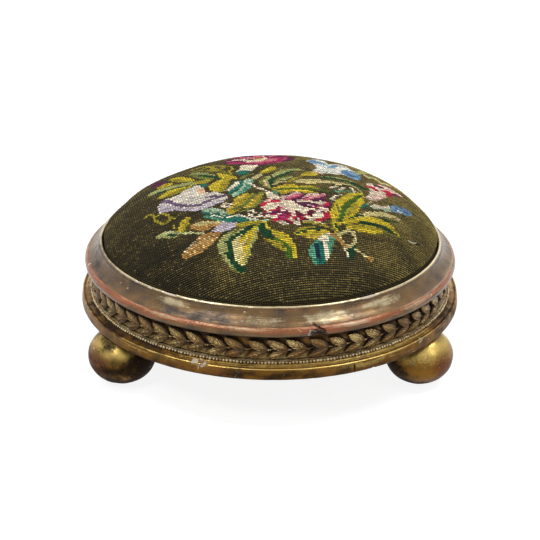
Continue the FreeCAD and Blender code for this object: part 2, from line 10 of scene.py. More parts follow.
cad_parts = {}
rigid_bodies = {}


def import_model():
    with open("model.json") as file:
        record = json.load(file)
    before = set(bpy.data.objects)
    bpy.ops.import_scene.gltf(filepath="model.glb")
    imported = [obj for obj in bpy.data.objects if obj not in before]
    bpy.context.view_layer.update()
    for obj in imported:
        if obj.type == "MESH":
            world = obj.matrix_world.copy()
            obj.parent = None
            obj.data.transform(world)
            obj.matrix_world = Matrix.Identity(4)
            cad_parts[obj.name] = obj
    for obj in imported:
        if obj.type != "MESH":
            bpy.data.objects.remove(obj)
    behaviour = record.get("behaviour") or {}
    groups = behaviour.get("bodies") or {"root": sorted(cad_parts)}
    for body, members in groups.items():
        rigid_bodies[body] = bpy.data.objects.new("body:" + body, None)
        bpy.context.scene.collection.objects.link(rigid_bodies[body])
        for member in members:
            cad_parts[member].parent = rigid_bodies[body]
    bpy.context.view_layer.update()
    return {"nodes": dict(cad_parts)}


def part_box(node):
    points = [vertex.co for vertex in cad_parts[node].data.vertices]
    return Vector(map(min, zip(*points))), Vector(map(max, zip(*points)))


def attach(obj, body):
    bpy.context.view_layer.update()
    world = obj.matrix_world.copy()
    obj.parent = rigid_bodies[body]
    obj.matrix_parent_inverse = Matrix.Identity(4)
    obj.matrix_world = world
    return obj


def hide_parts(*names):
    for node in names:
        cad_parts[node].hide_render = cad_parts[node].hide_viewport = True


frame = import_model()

bl_info = {
    "name": "Needlework footstool",
    "version": (1, 0, 0),
    "blender": (4, 5, 0),
    "location": "3D View > Sidebar > Footstool",
    "description": "A round gilt footstool with a laurel garland and a needlework cushion",
    "category": "Object",
}

MM = 0.001


# Settings


def length(name, description, millimetres, **limits):
    """A size in metres, shown in the scene's unit of length."""
    return FloatProperty(
        name=name, description=description, default=millimetres * MM, unit="LENGTH", precision=5, **limits
    )


def angle(name, description, degrees):
    """An angle, given in degrees."""
    return FloatProperty(name=name, description=description, default=math.radians(degrees), subtype="ANGLE")


def amount(name, description, default):
    """A plain number, such as the watts of a lamp."""
    return FloatProperty(name=name, description=description, default=default)


def tally(name, description, default, least):
    """A whole number that is never below least."""
    return IntProperty(name=name, description=description, default=default, min=least)


def shade(name, description, colour):
    """A colour, written as it looks on screen, each channel from 0 to 255."""
    return FloatVectorProperty(
        name=name,
        description=description,
        subtype="COLOR_GAMMA",
        size=3,
        min=0.0,
        max=1.0,
        default=tuple(channel / 255 for channel in colour),
    )


class FrameSettings(bpy.types.PropertyGroup):
    """Turned and gilt woodwork."""

    base_radius: length("Base radius", "Largest radius of the round base", 180.0)
    base_bottom: length("Base underside", "Height of the base above the floor", 51.0)
    base_top: length("Base top", "Height of the base's flat top", 62.0)
    frieze_radius: length("Frieze radius", "Outside radius of the drum behind the garland", 166.0)
    frieze_bore: length("Frieze bore", "Inside radius of the drum", 146.0)
    rim_bottom: length("Rim underside", "Height where the rim moulding starts", 87.0)
    rim_bore: length("Rim bore", "Inside radius of the rim round the cushion", 159.2)
    foot_height: length("Foot height", "Height of a bun foot", 51.0)
    foot_radius: length("Foot radius", "Largest radius of a bun foot", 31.2)
    foot_floor: length("Foot flat", "Radius of the flat that a foot stands on", 7.0)
    foot_seat: length("Foot seat", "Radius of the flat under the base", 10.0)
    segments: tally("Segments", "Steps round a turned ring", 900, 90)
    gold: shade("Gold", "Aged leaf gold on the drum and the pearls", (146, 102, 38))
    rim_gold: shade("Rim gold", "Rubbed, greyed leaf on the rim", (132, 100, 58))
    leaf_gold: shade("Carved gold", "Olive leaf gold on the carving", (130, 93, 44))
    # The pale gold and the light golds below colour burnished leaf and also painted highlights.
    pale_gold: shade("Pale gold", "Burnished leaf on the high places", (232, 208, 138))
    leaf_light: shade("Carved light", "Burnished ridges of the carving", (246, 218, 146))
    amber: shade("Amber", "Leaf gold on the edge of the base", (134, 91, 30))
    amber_light: shade("Amber light", "Burnished leaf on the edge of the base", (226, 194, 112))
    foot_gold: shade("Foot gold", "Leaf gold on the feet", (130, 92, 34))
    foot_light: shade("Foot light", "Burnished leaf on the feet", (226, 196, 112))
    bole: shade("Bole", "Red clay under the gold, where it is rubbed through", (190, 106, 56))
    old_bole: shade("Old bole", "Darker clay on the base, the drum and the feet", (134, 70, 42))
    # This colour is dirt in the hollows and also painted shade under, behind and between the parts and in the
    # garland's grooves.
    grime_and_shade: shade("Grime", "Dark dirt in the hollows", (46, 31, 16))
    dust: shade("Dust", "Grey-brown bloom on the coves", (118, 98, 78))
    sight: shade("Sight edge", "Rubbed bead beside the cushion", (234, 217, 174))
    gesso: shade("Gesso", "White ground in the chips", (222, 206, 186))


class GarlandSettings(bpy.types.PropertyGroup):
    """Laurel leaves and pearls round the frieze."""

    pairs: tally("Leaf pairs", "Pairs of leaves round the frieze", 60, 3)
    turn: angle("Turn", "Bearing of the first pair from the right", 2.4)
    middle: length("Middle", "Height of the garland's stem", 73.6)
    leaf_length: length("Leaf length", "Stalk to tip of an upper leaf", 19.6)
    leaf_width: length("Leaf width", "Widest part of a leaf", 9.9)
    leaf_relief: length("Leaf relief", "How far a leaf's midrib stands out", 4.8)
    leaf_angle: angle("Leaf angle", "Slant of an upper leaf to the stem", 28.0)
    lower_angle: angle("Lower leaf angle", "Slant of a lower leaf to the stem", 21.0)
    pearls: tally("Pearls", "Pearls round the foot of the frieze", 360, 12)
    pearl_radius: length("Pearl radius", "Radius of one pearl", 1.45)
    pearl_circle: length("Pearl circle", "Distance of the pearls from the middle", 170.8)
    pearl_height: length("Pearl height", "Height of the pearls' middles", 62.9)


class CushionSettings(bpy.types.PropertyGroup):
    """Stuffed seat and its needlework."""

    stitch: length("Stitch", "Width of one stitch of the canvas", 2.1, min=0.001)
    canvas_turn: angle("Canvas turn", "How far the canvas is turned on the seat", 12.0)
    side: length("Side", "Radius of the cushion's side", 157.2)
    reach: length("Crown reach", "Radius at which the crown's curve would end", 160.86)
    crown_top: length("Crown top", "Height of the crown's middle", 171.48)
    crown_rise: length("Crown rise", "Rise of the crown's curve", 69.33)
    lean: length("Lean", "How far the crown's top has shifted to the right", 8.0)
    seat: length("Seat", "Height of the ledge that the cushion sits on", 87.0)
    cloth: length("Cloth", "Thickness of the cover", 1.6)
    hem: length("Hem", "Inner radius of the hem under the seat board", 140.2)
    board_top: length("Board top", "Height of the seat board's upper face", 100.6)
    slack: length("Slack", "How far the cover starts inside the crown before it is blown up", 2.0)
    lumps: length("Lumps", "Height of the lumps in the stuffing", 0.9)
    pull: length("Pull", "Depth to which the tacks draw the cover's edge in", 1.4)
    cap: length("Cap", "Farthest that the simulation may move the cover", 1.2)
    tacks: tally("Tacks", "Places where the cover's edge is drawn in", 22, 3)
    relief: length("Stitch relief", "Height of one stitch over its edges", 0.5)
    seed: tally("Seed", "Fixed seed of the wool's variation", 7, 0)
    ground: shade("Ground", "Dark ground of the needlework", (66, 58, 31))
    # The faded ground is partly real fading and partly painted light towards the right and the back.
    faded_and_lit: shade("Faded ground", "Ground where the light has faded it", (150, 132, 68))
    thread: shade("Loose thread", "Strand of cotton that hangs out of the slit", (250, 240, 216))
    canvas: shade("Canvas", "Bare thread between the stitches", (150, 130, 95))


class StudioSettings(bpy.types.PropertyGroup):
    """Floor, lamps and camera."""

    floor_size: length("Floor", "Width of the floor", 6000.0)
    lens: amount("Lens", "Focal length in millimetres", 86.67)
    distance: length("Distance", "Camera to the middle of the stool", 1243.49)
    aim: length("Aim", "Height that the camera is set out from", 91.0)
    elevation: angle("Elevation", "Camera's height as an angle", 23.454)
    dip: angle("Dip", "Extra look down", 0.786)
    roll: angle("Roll", "Camera's roll", 0.66)
    key: amount("Key light", "Watts of the lamp on the left", 6.5)
    fill: amount("Fill light", "Watts of the lamp on the right", 2.2)
    top: amount("Top light", "Watts of each lamp overhead", 7.0)
    rim: amount("Back light", "Watts of the lamp behind", 2.5)
    sky: amount("Sky", "Strength of the even light all round", 0.22)


# Helpers for colour, noise and meshes


def linear(colour, alpha=1.0):
    """A screen colour from 0 to 1 as the shader's linear colour."""
    channels = [c / 12.92 if c <= 0.04045 else ((c + 0.055) / 1.055) ** 2.4 for c in colour]
    return (*channels, alpha)


def deeper(colour, share):
    """A colour at a share of its strength."""
    return [channel * share for channel in colour]


def smooth(low, high, value):
    """0 below low, 1 above high and a soft step between, on numbers or arrays."""
    share = np.clip((value - low) / (high - low), 0.0, 1.0)
    return share * share * (3 - 2 * share)


def ripple(x, y, z, scale, seed=0.0):
    """Soft noise from -1 to 1 at a point in millimetres, with features about scale wide."""
    return noise.noise(Vector((x / scale + seed, y / scale - seed, z / scale + 0.37 * seed)))


def new_object(name, mesh):
    """An object in the scene from a mesh."""
    piece = bpy.data.objects.new(name, mesh)
    bpy.context.collection.objects.link(piece)
    return piece


def new_piece(name, points, faces):
    """A smooth mesh object from points in metres."""
    mesh = bpy.data.meshes.new(name)
    mesh.from_pydata([tuple(p) for p in points], [], faces)
    mesh.validate()
    mesh.polygons.foreach_set("use_smooth", [True] * len(mesh.polygons))
    return new_object(name, mesh)


def grid_quads(rows, columns, round_rows=False, round_columns=True, first=0):
    """Quads of a grid of points that are numbered row by row from first, and may close round."""
    quads = []
    for row in range(rows if round_rows else rows - 1):
        here, there = first + row * columns, first + (row + 1) % rows * columns
        for k in range(columns if round_columns else columns - 1):
            n = (k + 1) % columns
            quads.append((here + k, there + k, there + n, here + n))
    return quads


def tint(mesh, name, values, domain="POINT"):
    """Stores four numbers for each point or corner."""
    layer = mesh.attributes.new(name, "FLOAT_COLOR", domain)
    layer.data.foreach_set("color", np.asarray(values, dtype=np.float32).ravel())


def face_outwards(mesh, crease=None, weld=None):
    """Turns faces outwards. Edges over crease degrees turn sharp, and points within weld metres join."""
    shell = bmesh.new()
    shell.from_mesh(mesh)
    if weld:
        bmesh.ops.remove_doubles(shell, verts=shell.verts, dist=weld)
    bmesh.ops.recalc_face_normals(shell, faces=shell.faces)
    if crease:
        for edge in shell.edges:
            if len(edge.link_faces) == 2 and edge.calc_face_angle(0.0) > math.radians(crease):
                edge.smooth = False
    shell.to_mesh(mesh)
    shell.free()


def declare(piece, material, slot, *nodes):
    """Gives a finished piece its material, hangs it on the root body and hides the parts that it replaces.
    Its slot is not used.
    """
    piece.data.materials.clear()
    piece.data.materials.append(material)
    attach(piece, "root")
    if nodes:
        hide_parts(*nodes)


# Helpers for nodes


class Wire:
    """One output of a node tree. Sums, differences and products of wires join up nodes."""

    def __init__(self, tree, socket):
        self.tree, self.socket = tree, socket

    def math(self, operation, *others):
        return self.tree.add("ShaderNodeMath", {"operation": operation}, dict(enumerate((self, *others))))

    def __add__(self, other):
        return self.math("ADD", other)

    __radd__ = __add__

    def __mul__(self, other):
        return self.math("MULTIPLY", other)

    __rmul__ = __mul__

    def __sub__(self, other):
        return self.math("SUBTRACT", other)

    def __rsub__(self, other):
        return self.tree.add("ShaderNodeMath", {"operation": "SUBTRACT"}, {0: other, 1: self})

    def clamp(self):
        return self.tree.add("ShaderNodeClamp", {}, {0: self})

    def step(self, low, high):
        """0 below low and 1 above high, with a soft step between."""
        inputs = {"Value": self, "From Min": low, "From Max": high}
        return self.tree.add("ShaderNodeMapRange", {"interpolation_type": "SMOOTHSTEP"}, inputs)


class Nodes:
    """A node tree that is filled by one method. The others are short ways to call it."""

    def __init__(self, tree, material=None):
        self.tree, self.material = tree, material

    def add(self, kind, settings=None, inputs=None, output=0):
        """A node of a kind: its settings first, then its sockets by name or number."""
        node = self.tree.nodes.new(kind)
        for key, value in (settings or {}).items():
            setattr(node, key, value)
        for key, value in (inputs or {}).items():
            if isinstance(value, Wire):
                self.tree.links.new(value.socket, node.inputs[key])
            else:
                node.inputs[key].default_value = value
        return Wire(self, node.outputs[output]) if len(node.outputs) else None

    def parts(self, value, kind="ShaderNodeSeparateXYZ"):
        """The three numbers of a vector or colour."""
        split = self.add(kind, {}, {0: value})
        return [Wire(self, socket) for socket in split.socket.node.outputs]

    def place(self):
        """Where a point lies on its piece, in metres."""
        return self.add("ShaderNodeTexCoord", output=3)

    def stored(self, name, output=0):
        """What an attribute of the mesh says: its colour, or by output its vector (1) or alpha (3)."""
        return self.add("ShaderNodeAttribute", {"attribute_name": name}, output=output)

    def blend(self, share, first, second, blend_type="MIX"):
        """First colour, or second where share is 1. A colour is a wire or is written as on screen."""
        first, second = (c if isinstance(c, Wire) else linear(c) for c in (first, second))
        settings = {"data_type": "RGBA", "blend_type": blend_type}
        return self.add("ShaderNodeMix", settings, {0: share, 6: first, 7: second}, 2)

    def coats(self, colour, *layers):
        """A colour with others laid over it in turn, each by its share."""
        for share, paint in layers:
            colour = self.blend(share, colour, paint)
        return colour

    def noise(self, where, per_metre, detail=3.0, rough=0.55, stretch=None):
        """Noise from 0 to 1 about a half."""
        if stretch:
            where = self.add("ShaderNodeMapping", {}, {"Vector": where, "Scale": stretch})
        inputs = {"Vector": where, "Scale": per_metre, "Detail": detail, "Roughness": rough}
        return self.add("ShaderNodeTexNoise", {}, inputs)

    def cracks(self, where, per_metre):
        """Distance to the nearest edge between random cells."""
        inputs = {"Vector": where, "Scale": per_metre, "Randomness": 1.0}
        return self.add("ShaderNodeTexVoronoi", {"feature": "DISTANCE_TO_EDGE"}, inputs)

    def bump(self, height, strength, reach):
        """A normal from a height, where reach is in millimetres."""
        inputs = {"Height": height, "Strength": strength, "Distance": reach * MM}
        return self.add("ShaderNodeBump", {}, inputs)

    def looked_at(self):
        """1 for the camera's rays and for those that are mirrored or let through, 0 for other light."""
        path = self.add("ShaderNodeLightPath").socket.node.outputs
        rays = [Wire(self, path[f"Is {kind} Ray"]) for kind in ("Camera", "Glossy", "Transmission")]
        return (rays[0] + rays[1] + rays[2]).clamp()

    def random(self, kind, low, high, **inputs):
        """A random value between two for each point: a FLOAT_VECTOR, a FLOAT or an INT."""
        first = {"FLOAT_VECTOR": 0, "FLOAT": 2, "INT": 4}[kind]
        sockets = {first: low, first + 1: high, **inputs}
        return self.add("FunctionNodeRandomValue", {"data_type": kind}, sockets, first // 2)

    def finish(self, settings, **sockets):
        """Adds the shader and the output, and returns the material. Settings stay the same all over."""
        inputs = {**settings, **{key.replace("_", " "): value for key, value in sockets.items()}}
        shader = self.add("ShaderNodeBsdfPrincipled", {}, inputs)
        self.add("ShaderNodeOutputMaterial", {}, {"Surface": shader})
        return self.material


def new_material(name):
    """The empty node tree of a new material."""
    material = bpy.data.materials.new(name)
    material.use_nodes = True
    material.node_tree.nodes.clear()
    return Nodes(material.node_tree, material)


# Bouquet
#
# Wool colours, and each leaf, petal and line of the bouquet in the order that they are stitched. A row
# starts with a colour, and with the colour of its shaded side behind a slash. A line's width stands
# alone, and a filled outline has none. Then come the corners, to the right and towards the back of the
# canvas's middle. All of them are counted in half stitches.

THREADS = {
    "yellow": (222, 198, 54),
    "ochre": (176, 160, 50),
    "gold": (226, 194, 72),
    "straw": (240, 222, 150),
    "olive": (136, 130, 48),
    "sage": (178, 180, 112),
    "pistachio": (206, 208, 146),
    "moss": (126, 132, 64),
    "leaf": (76, 108, 36),
    "fir": (24, 70, 40),
    "teal": (40, 116, 100),
    "jade": (96, 164, 132),
    "navy": (22, 50, 66),
    "mint": (190, 212, 178),
    "pearl": (240, 230, 212),
    "cream": (252, 236, 204),
    "pitch": (20, 17, 10),
    "white": (248, 247, 232),
    "lilac": (206, 194, 204),
    "violet": (122, 98, 128),
    "peach": (250, 204, 160),
    "brown": (192, 144, 76),
    "wheat": (238, 206, 140),
    "tan": (224, 208, 142),
    "plum": (98, 40, 74),
    "magenta": (178, 52, 100),
    "wine": (110, 30, 54),
    "crimson": (212, 50, 74),
    "rose": (226, 124, 138),
    "blush": (252, 214, 196),
    "blue": (134, 170, 198),
    "denim": (82, 118, 164),
}
BOUQUET = """
plum -41,59 -33,72 -12,93 -2,91 9,86 18,75 24,61 25,46 18,36 10,33 -10,29 -19,31 -24,35
magenta 8 -33,51 -24,40 -10,35 -5,36
rose 7 -18,44 -12,43 -9,39 -3,42
rose 13 -3,44 8,49 12,49
cream 7 -27,64 -22,63 -16,47 -7,48 2,63
magenta 6 -5,36 2,35 8,36 14,52
magenta 7 -10,62 -18,74 -22,81
rose 4 -12,64 -19,77
magenta 7 -3,64 -4,83
rose 4 -3,66 -3,79
magenta 6 4,62 14,75
rose 3 6,65 12,73
magenta 5 7,55 20,59
rose 3 -21,59 -34,63
cream 2 -8,64 -13,73
cream 2 0,66 2,74
gold 6 -9,56 -5,57
plum -107,62 -101,71 -97,63 -95,52 -98,47 -103,49 -106,51
yellow/ochre -91,53 -87,56 -82,49 -74,29 -73,20 -79,24 -88,38
sage/moss -74,46 -69,46 -63,38 -55,21 -52,9 -61,13 -66,19 -70,29
fir 4 -66,31 -51,9
yellow -52,25 -39,4 -38,-1 -44,1 -50,8 -52,17
yellow/ochre -63,-6 -55,3 -49,5 -45,2 -46,-5 -53,-21 -56,-22 -61,-17 -63,-12
ochre 4 -69,62 -62,65 -56,63 -52,51 -51,39 -54,36 -58,42
ochre 3 -60,51 -53,55 -47,51 -41,41 -44,36 -50,34
ochre 2 -44,41 -39,39 -36,30 -39,23 -42,22 -41,14
olive 3 -68,52 -61,45 -55,33 -48,29 -44,20
yellow/ochre -109,10 -96,17 -89,16 -83,12 -77,12 -76,9 -80,4 -85,3 -103,4
fir 6 -105,24 -98,22 -78,13 -71,13
sage 8 -110,31 -103,31 -92,24 -72,13
yellow -103,44 -96,45 -91,40 -91,33 -98,34 -103,40
ochre -75,15 -69,16 -63,13 -59,8 -63,4 -70,7
teal/jade -51,-22 -40,-6 -38,-6 -37,-11 -39,-19 -43,-23 -48,-29
mint/jade -48,-30 -43,-26 -33,-8 -29,-7 -26,-10 -28,-17 -32,-26 -37,-31 -46,-36
teal 3 -49,-30 -43,-25 -38,-18 -35,-9
cream 4 -49,-21 -39,-10
cream -35,16 -31,21 -28,33 -24,33 -14,28 -24,11 -29,8
teal -35,16 -32,18 -24,12 -28,6 -33,5 -35,9
pearl -78,4 -74,5 -71,3 -68,-11 -69,-17 -60,-20 -58,-25 -54,-26 -52,-34 -54,-37 -62,-39 -66,-39
  -68,-37 -73,-38 -77,-38 -79,-41 -90,-29 -94,-29 -102,-24 -110,-23 -108,-6 -104,0 -98,-2 -91,-3
peach -73,-4 -70,-2 -69,-16 -72,-14 -74,-10
teal -69,4 -65,4 -65,-1 -68,-5 -69,-2
violet 3 -104,-4 -99,-6 -97,-15 -93,-22 -87,-27
violet 3 -84,-30 -76,-34 -72,-32 -69,-33
violet 3 -68,-25 -62,-26 -59,-30 -55,-30 -53,-29
violet 3 -108,-11 -105,-12
lilac -109,-16 -106,-7 -98,-21 -89,-32 -77,-38 -53,-36 -58,-39 -71,-42 -80,-41 -101,-25 -108,-23
violet 3 -104,-1 -90,-26 -77,-34 -66,-31 -53,-31
gold/ochre -57,-58 -56,-54 -51,-52 -48,-43 -42,-36 -37,-35 -31,-37 -36,-46 -47,-59 -53,-62 -56,-62
gold/ochre -41,-58 -38,-52 -28,-40 -23,-39 -26,-50 -30,-55 -39,-60
moss 3 -50,-55 -41,-54 -30,-40 -20,-37
moss 2 -45,-61 -39,-60 -32,-58 -26,-51
cream 2 -59,-45 -56,-43 -51,-47
cream 2 -59,-46 -56,-49 -53,-50
cream 2 -39,-63 -36,-63 -34,-67
cream 2 -39,-68 -36,-72 -32,-73 -29,-70
mint/teal -76,-44 -73,-41 -64,-48 -59,-52 -56,-62 -53,-65 -48,-64 -40,-72 -31,-78 -24,-79 -30,-80
  -56,-72 -63,-67 -72,-58
cream 1 -70,-56 -65,-58 -60,-64 -47,-66 -35,-77
jade 2 -74,-55 -63,-66
tan/brown -88,-61 -83,-60 -76,-62 -64,-68 -63,-71 -78,-73 -85,-68
lilac -71,-77 -69,-74 -63,-73 -62,-69 -50,-76 -52,-79 -63,-82
ochre -50,-76 -30,-79 -30,-82 -39,-83 -49,-81 -52,-79
brown -99,-90 -82,-79 -69,-80 -64,-83 -71,-90 -84,-98 -98,-97 -100,-94
cream 1 -98,-90 -82,-80 -69,-80
wheat 1 -95,-91 -93,-96
wheat 1 -91,-88 -89,-95
wheat 1 -87,-86 -85,-94
wheat 1 -83,-84 -81,-93
wheat 1 -79,-83 -77,-91
wheat 1 -75,-83 -73,-89
wheat 1 -71,-83 -69,-88
sage/moss -67,-91 -69,-96 -68,-111 -62,-123 -58,-128 -52,-131 -61,-116 -63,-105 -62,-97 -60,-92
  -55,-89 -41,-85 -47,-83 -56,-84 -63,-87
straw/yellow -56,-95 -49,-85 -42,-86 -36,-84 -34,-86 -38,-101 -44,-105 -44,-112 -50,-123 -53,-126
  -58,-114 -58,-108
yellow 5 -50,-98 -39,-86
yellow 2 -49,-106 -42,-96
sage 2 -35,-87 -39,-101 -43,-104 -45,-112 -52,-124
fir 4 -38,-83 -58,-93 -60,-98 -61,-114 -56,-125 -52,-129
fir 2 -60,-97 -64,-94
fir 2 -61,-110 -66,-106
fir 2 -39,-85 -45,-88 -49,-93
fir -32,-82 -28,-82 -23,-102 -26,-102 -30,-99 -33,-88
yellow 2 -28,-81 -26,-90 -23,-93
leaf -23,-102 -12,-111 -10,-116 -9,-126 -12,-126 -15,-124 -16,-113
yellow -25,-91 -21,-93 -11,-101 -6,-116 -6,-124 -9,-126 -10,-115 -13,-109 -20,-103
ochre -31,-101 -18,-108 -16,-112 -15,-117 -17,-118
yellow/ochre -14,-34 -10,-30 5,-26 10,-30 16,-30 24,-31 28,-35 -7,-33 -12,-35
yellow/ochre -9,-37 -3,-35 5,-36 14,-38 25,-43 18,-43 4,-42 -7,-43
leaf 2 -6,-34 20,-36 29,-37 36,-41
plum/wine -8,-46 4,-41 17,-45 22,-44 32,-45 32,-48 28,-55 33,-59 32,-66 29,-72 31,-76 30,-80 22,-85
  15,-86 9,-83 5,-83 1,-88 -3,-86 -9,-88 -19,-83 -21,-79 -18,-77 -30,-71 -24,-69 -26,-67 -28,-59
  -25,-57 -23,-52 -17,-50 -9,-52
crimson -28,-59 -23,-52 -18,-49 -16,-52 -22,-57 -24,-61 -24,-67 -25,-69
crimson 26,-61 32,-58 32,-63 27,-65
crimson 26,-74 31,-76 30,-80 25,-83 24,-79
crimson 15,-83 23,-81 22,-85 15,-87
crimson -8,-83 -3,-78 -1,-79 -5,-85
crimson 1,-86 4,-80 9,-77 5,-82
crimson -21,-79 -16,-79 -14,-82 -19,-84
magenta -29,-70 -23,-70 -15,-73 -14,-77 -18,-77
magenta -14,-81 -9,-69 -8,-74 -10,-83
blush -24,-55 -21,-51 -17,-51 -9,-55 -12,-58 -21,-58
cream -27,-60 -24,-58 -20,-57 -13,-58 -10,-59 -19,-68 -23,-69
cream -29,-73 -18,-74 -17,-77 -25,-76
cream/blush -13,-59 -10,-54 -6,-53 -1,-54 3,-61 11,-69 9,-76 5,-73 2,-68 -1,-72 0,-76 -2,-78 -4,-74
  -6,-65 -13,-74 -15,-73 -11,-64
cream -18,-83 -15,-82 -12,-84 -8,-88 -11,-88
cream -7,-77 2,-88 -1,-89 -7,-81
cream 1 0,-76 1,-87
cream 7,-78 15,-81 15,-84 11,-84
cream 15,-76 20,-73 24,-74 24,-79 20,-82 16,-81
cream 2 4,-56 11,-56 20,-59
cream 2 7,-66 19,-71 28,-72
cream/blush 20,-60 25,-57 29,-59 27,-62 23,-64
cream/blush 21,-67 25,-66 29,-68 29,-71 24,-71
blush 2 13,-63 19,-65
magenta 2 17,-67 22,-65 27,-66
blush/rose -9,-49 -5,-46 -2,-47 7,-41 12,-45 -1,-53 -5,-52
blush/rose 7,-54 17,-45 22,-44 26,-46 32,-45 28,-51 23,-54 16,-55
magenta 2 -4,-53 4,-51 9,-47
magenta 2 8,-54 16,-50 19,-47
plum 2 16,-56 24,-53 31,-50
cream -20,-39 -16,-37 -14,-42 -12,-42 -9,-55 -20,-46
jade -13,-39 -11,-37 -10,-40 -11,-44
crimson 2 -26,-60 -22,-55 -16,-54 -11,-54
crimson 2 -21,-67 -16,-67 -11,-65
plum 2 -27,-72 -20,-70 -12,-70 -9,-72
crimson 1 -10,-83 -5,-74
crimson 1 -4,-83 -1,-79
tan/straw 8,-22 12,-18 24,-16 58,-22 50,-25 40,-23 22,-25
sage 3 38,-9 54,-10 64,-14
fir 4 39,-11 53,-14 62,-15 68,-21 75,-25
sage 3 59,-21 66,-27 69,-34
ochre/yellow 18,-8 22,-2 26,2 31,3 34,0 33,-6 28,-8
ochre 2 4,-21 11,-14 17,-10
sage -8,-6 -4,1 2,7 10,9 18,10 24,5 16,5 8,1 -7,-11
fir -13,-17 -3,-6 13,4 8,-3 -4,-10 -8,-15 -11,-20 -12,-30 -14,-26
moss/sage -10,-19 2,-10 10,-8 8,-12 2,-16 -8,-20
moss/sage -21,-16 -17,-8 -12,-6 -10,-9 -14,-15 -15,-32 -20,-25
peach 1 -17,-14 -16,-31
yellow/ochre -17,5 -13,9 -7,16 -2,20 -1,11 -6,6 -10,3 -15,3
tan -26,-5 -18,2 -16,-2 -20,-6 -24,-10
moss 4 -34,-2 -29,2 -24,4
cream 2 -29,-18 -27,-25 -19,-35
tan 2 -11,-25 -7,-22 1,-21
cream 2 38,-34 47,-29
cream 2 48,-35 54,-30
jade 2 43,-38 45,-40 50,-37
jade 2 55,-35 57,-38
cream 2 60,-29 62,-35 59,-39
cream 2 39,-55 36,-53 41,-47 47,-45
white 35,38 43,50 51,54 56,46 56,35 64,43 74,44 77,23 67,13 60,2 45,1 38,-1 31,3 38,13 40,24
blue 37,41 43,49 50,38 53,31 49,27 45,32 40,28 37,32
blue 51,22 59,33 64,39 65,35 57,23 52,18
blue 62,14 70,23 74,22 80,11 79,3 75,-4 69,-6 62,3 60,6
denim 4 64,12 68,11 69,6
denim 4 68,2 74,3
peach 3 31,3 39,-2
sage 9 80,19 95,37
tan 4 88,16 89,11
sage 6 93,14 100,17
tan 5 99,13 101,5 105,8
tan 6 109,10 113,12
yellow 33,-69 40,-56 47,-48 56,-41 65,-37 71,-36 68,-45 67,-52 57,-68 53,-75 37,-89 34,-95 31,-89
  30,-81
leaf 36,-88 43,-65 55,-50 71,-37 47,-67 38,-87
ochre 43,-79 47,-70 57,-58 59,-59 54,-68 47,-77
moss 1 34,-88 36,-80 34,-72
moss 1 39,-62 39,-73
cream/blush 82,-8 86,-7 91,-9 96,-3 108,0 111,-5 117,-5 121,-8 114,-16 105,-21 91,-34 86,-40 79,-46
  75,-46 71,-44 79,-33
blush 96,-3 108,0 111,-5 117,-5 121,-8 108,-14 102,-12 96,-16 92,-14
crimson 5 81,-18 86,-17 88,-22
crimson 99,-19 106,-16 108,-18 101,-27 97,-27
plum 5 108,-17 116,-14
plum 5 91,-10 98,-9
crimson 4 96,-19 101,-15 106,-15
jade 2 65,-59 71,-54
peach 1 70,-54 76,-47
cream/mint 73,-56 78,-52 87,-52 94,-49 95,-51 93,-57 88,-59 84,-57 78,-59 75,-59
blue 94,-49 101,-44 108,-42 114,-41 120,-43 120,-48 112,-53 94,-56
white 2 101,-49 104,-53 108,-51
denim 1 98,-54 103,-47
denim 3 108,-49 114,-48
teal 2 63,-62 67,-58 71,-57
tan 55,-77 65,-69 82,-63 95,-62 101,-64 100,-67 94,-66 87,-67
fir 72,-75 98,-71 88,-74 80,-76
fir 2 47,-81 55,-76 62,-74
yellow 37,-87 56,-78 71,-74 84,-76 89,-78 96,-90 92,-88 86,-83 78,-81 60,-82 42,-88
ochre/yellow 41,-92 46,-89 63,-86 77,-89 78,-93 59,-96
fir 3 58,-84 74,-84 84,-86 97,-92
olive 2 78,-90 86,-91 97,-91
yellow 4 33,-73 31,-96 34,-102
olive 1 28,-84 31,-96 34,-102
fir 2 32,-88 35,-96
tan 2 5,-85 11,-85 23,-89
ochre 2 5,-87 11,-87 25,-93
ochre/yellow -6,-99 -1,-94 4,-92 10,-92 18,-96 6,-97 -4,-100
yellow/gold -3,-101 23,-97 25,-99 11,-107
fir 2 -3,-99 9,-95 18,-96
jade/teal 5,-119 7,-114 13,-109 16,-108 18,-112 17,-131 13,-134 9,-133 6,-130
navy 3 12,-114 12,-126
cream 15,-106 24,-101 27,-101 23,-113 23,-120 21,-128 18,-130 18,-111
jade 24,-104 30,-103 23,-124
fir 39,-116 50,-108 43,-127 41,-127
tan 3 36,-100 44,-96 48,-98 49,-103 49,-107 46,-111 39,-116 32,-102
cream 2 37,-117 40,-126
brown 3 28,-102 34,-108 38,-115
tan 2 47,-117 59,-124
brown 2 59,-124 62,-122 64,-124 61,-126
ochre 2 -123,-17 -119,-15 -116,-18 -114,-33 -108,-44 -102,-39 -105,-28 -110,-24 -115,-26
ochre 1 -102,-36 -98,-43 -98,-54
ochre 1 -102,-48 -101,-56
yellow/ochre -97,-58 -95,-50 -88,-47 -86,-49 -91,-60 -92,-60 -94,-65 -97,-65 -99,-62
pistachio/sage -118,-56 -114,-54 -109,-55 -103,-58 -99,-64 -101,-67 -105,-66
fir 2 -108,-60 -100,-66
pistachio 2 -98,-65 -79,-76
pitch 1 97,-90 105,-90
pitch 3 115,-89 119,-89
pitch 1 105,-92 115,-91
"""


# Finishes
#
# MEAN_RADIUS turns a bearing into metres round the piece, for streaks that follow the turning.

MEAN_RADIUS = 0.166


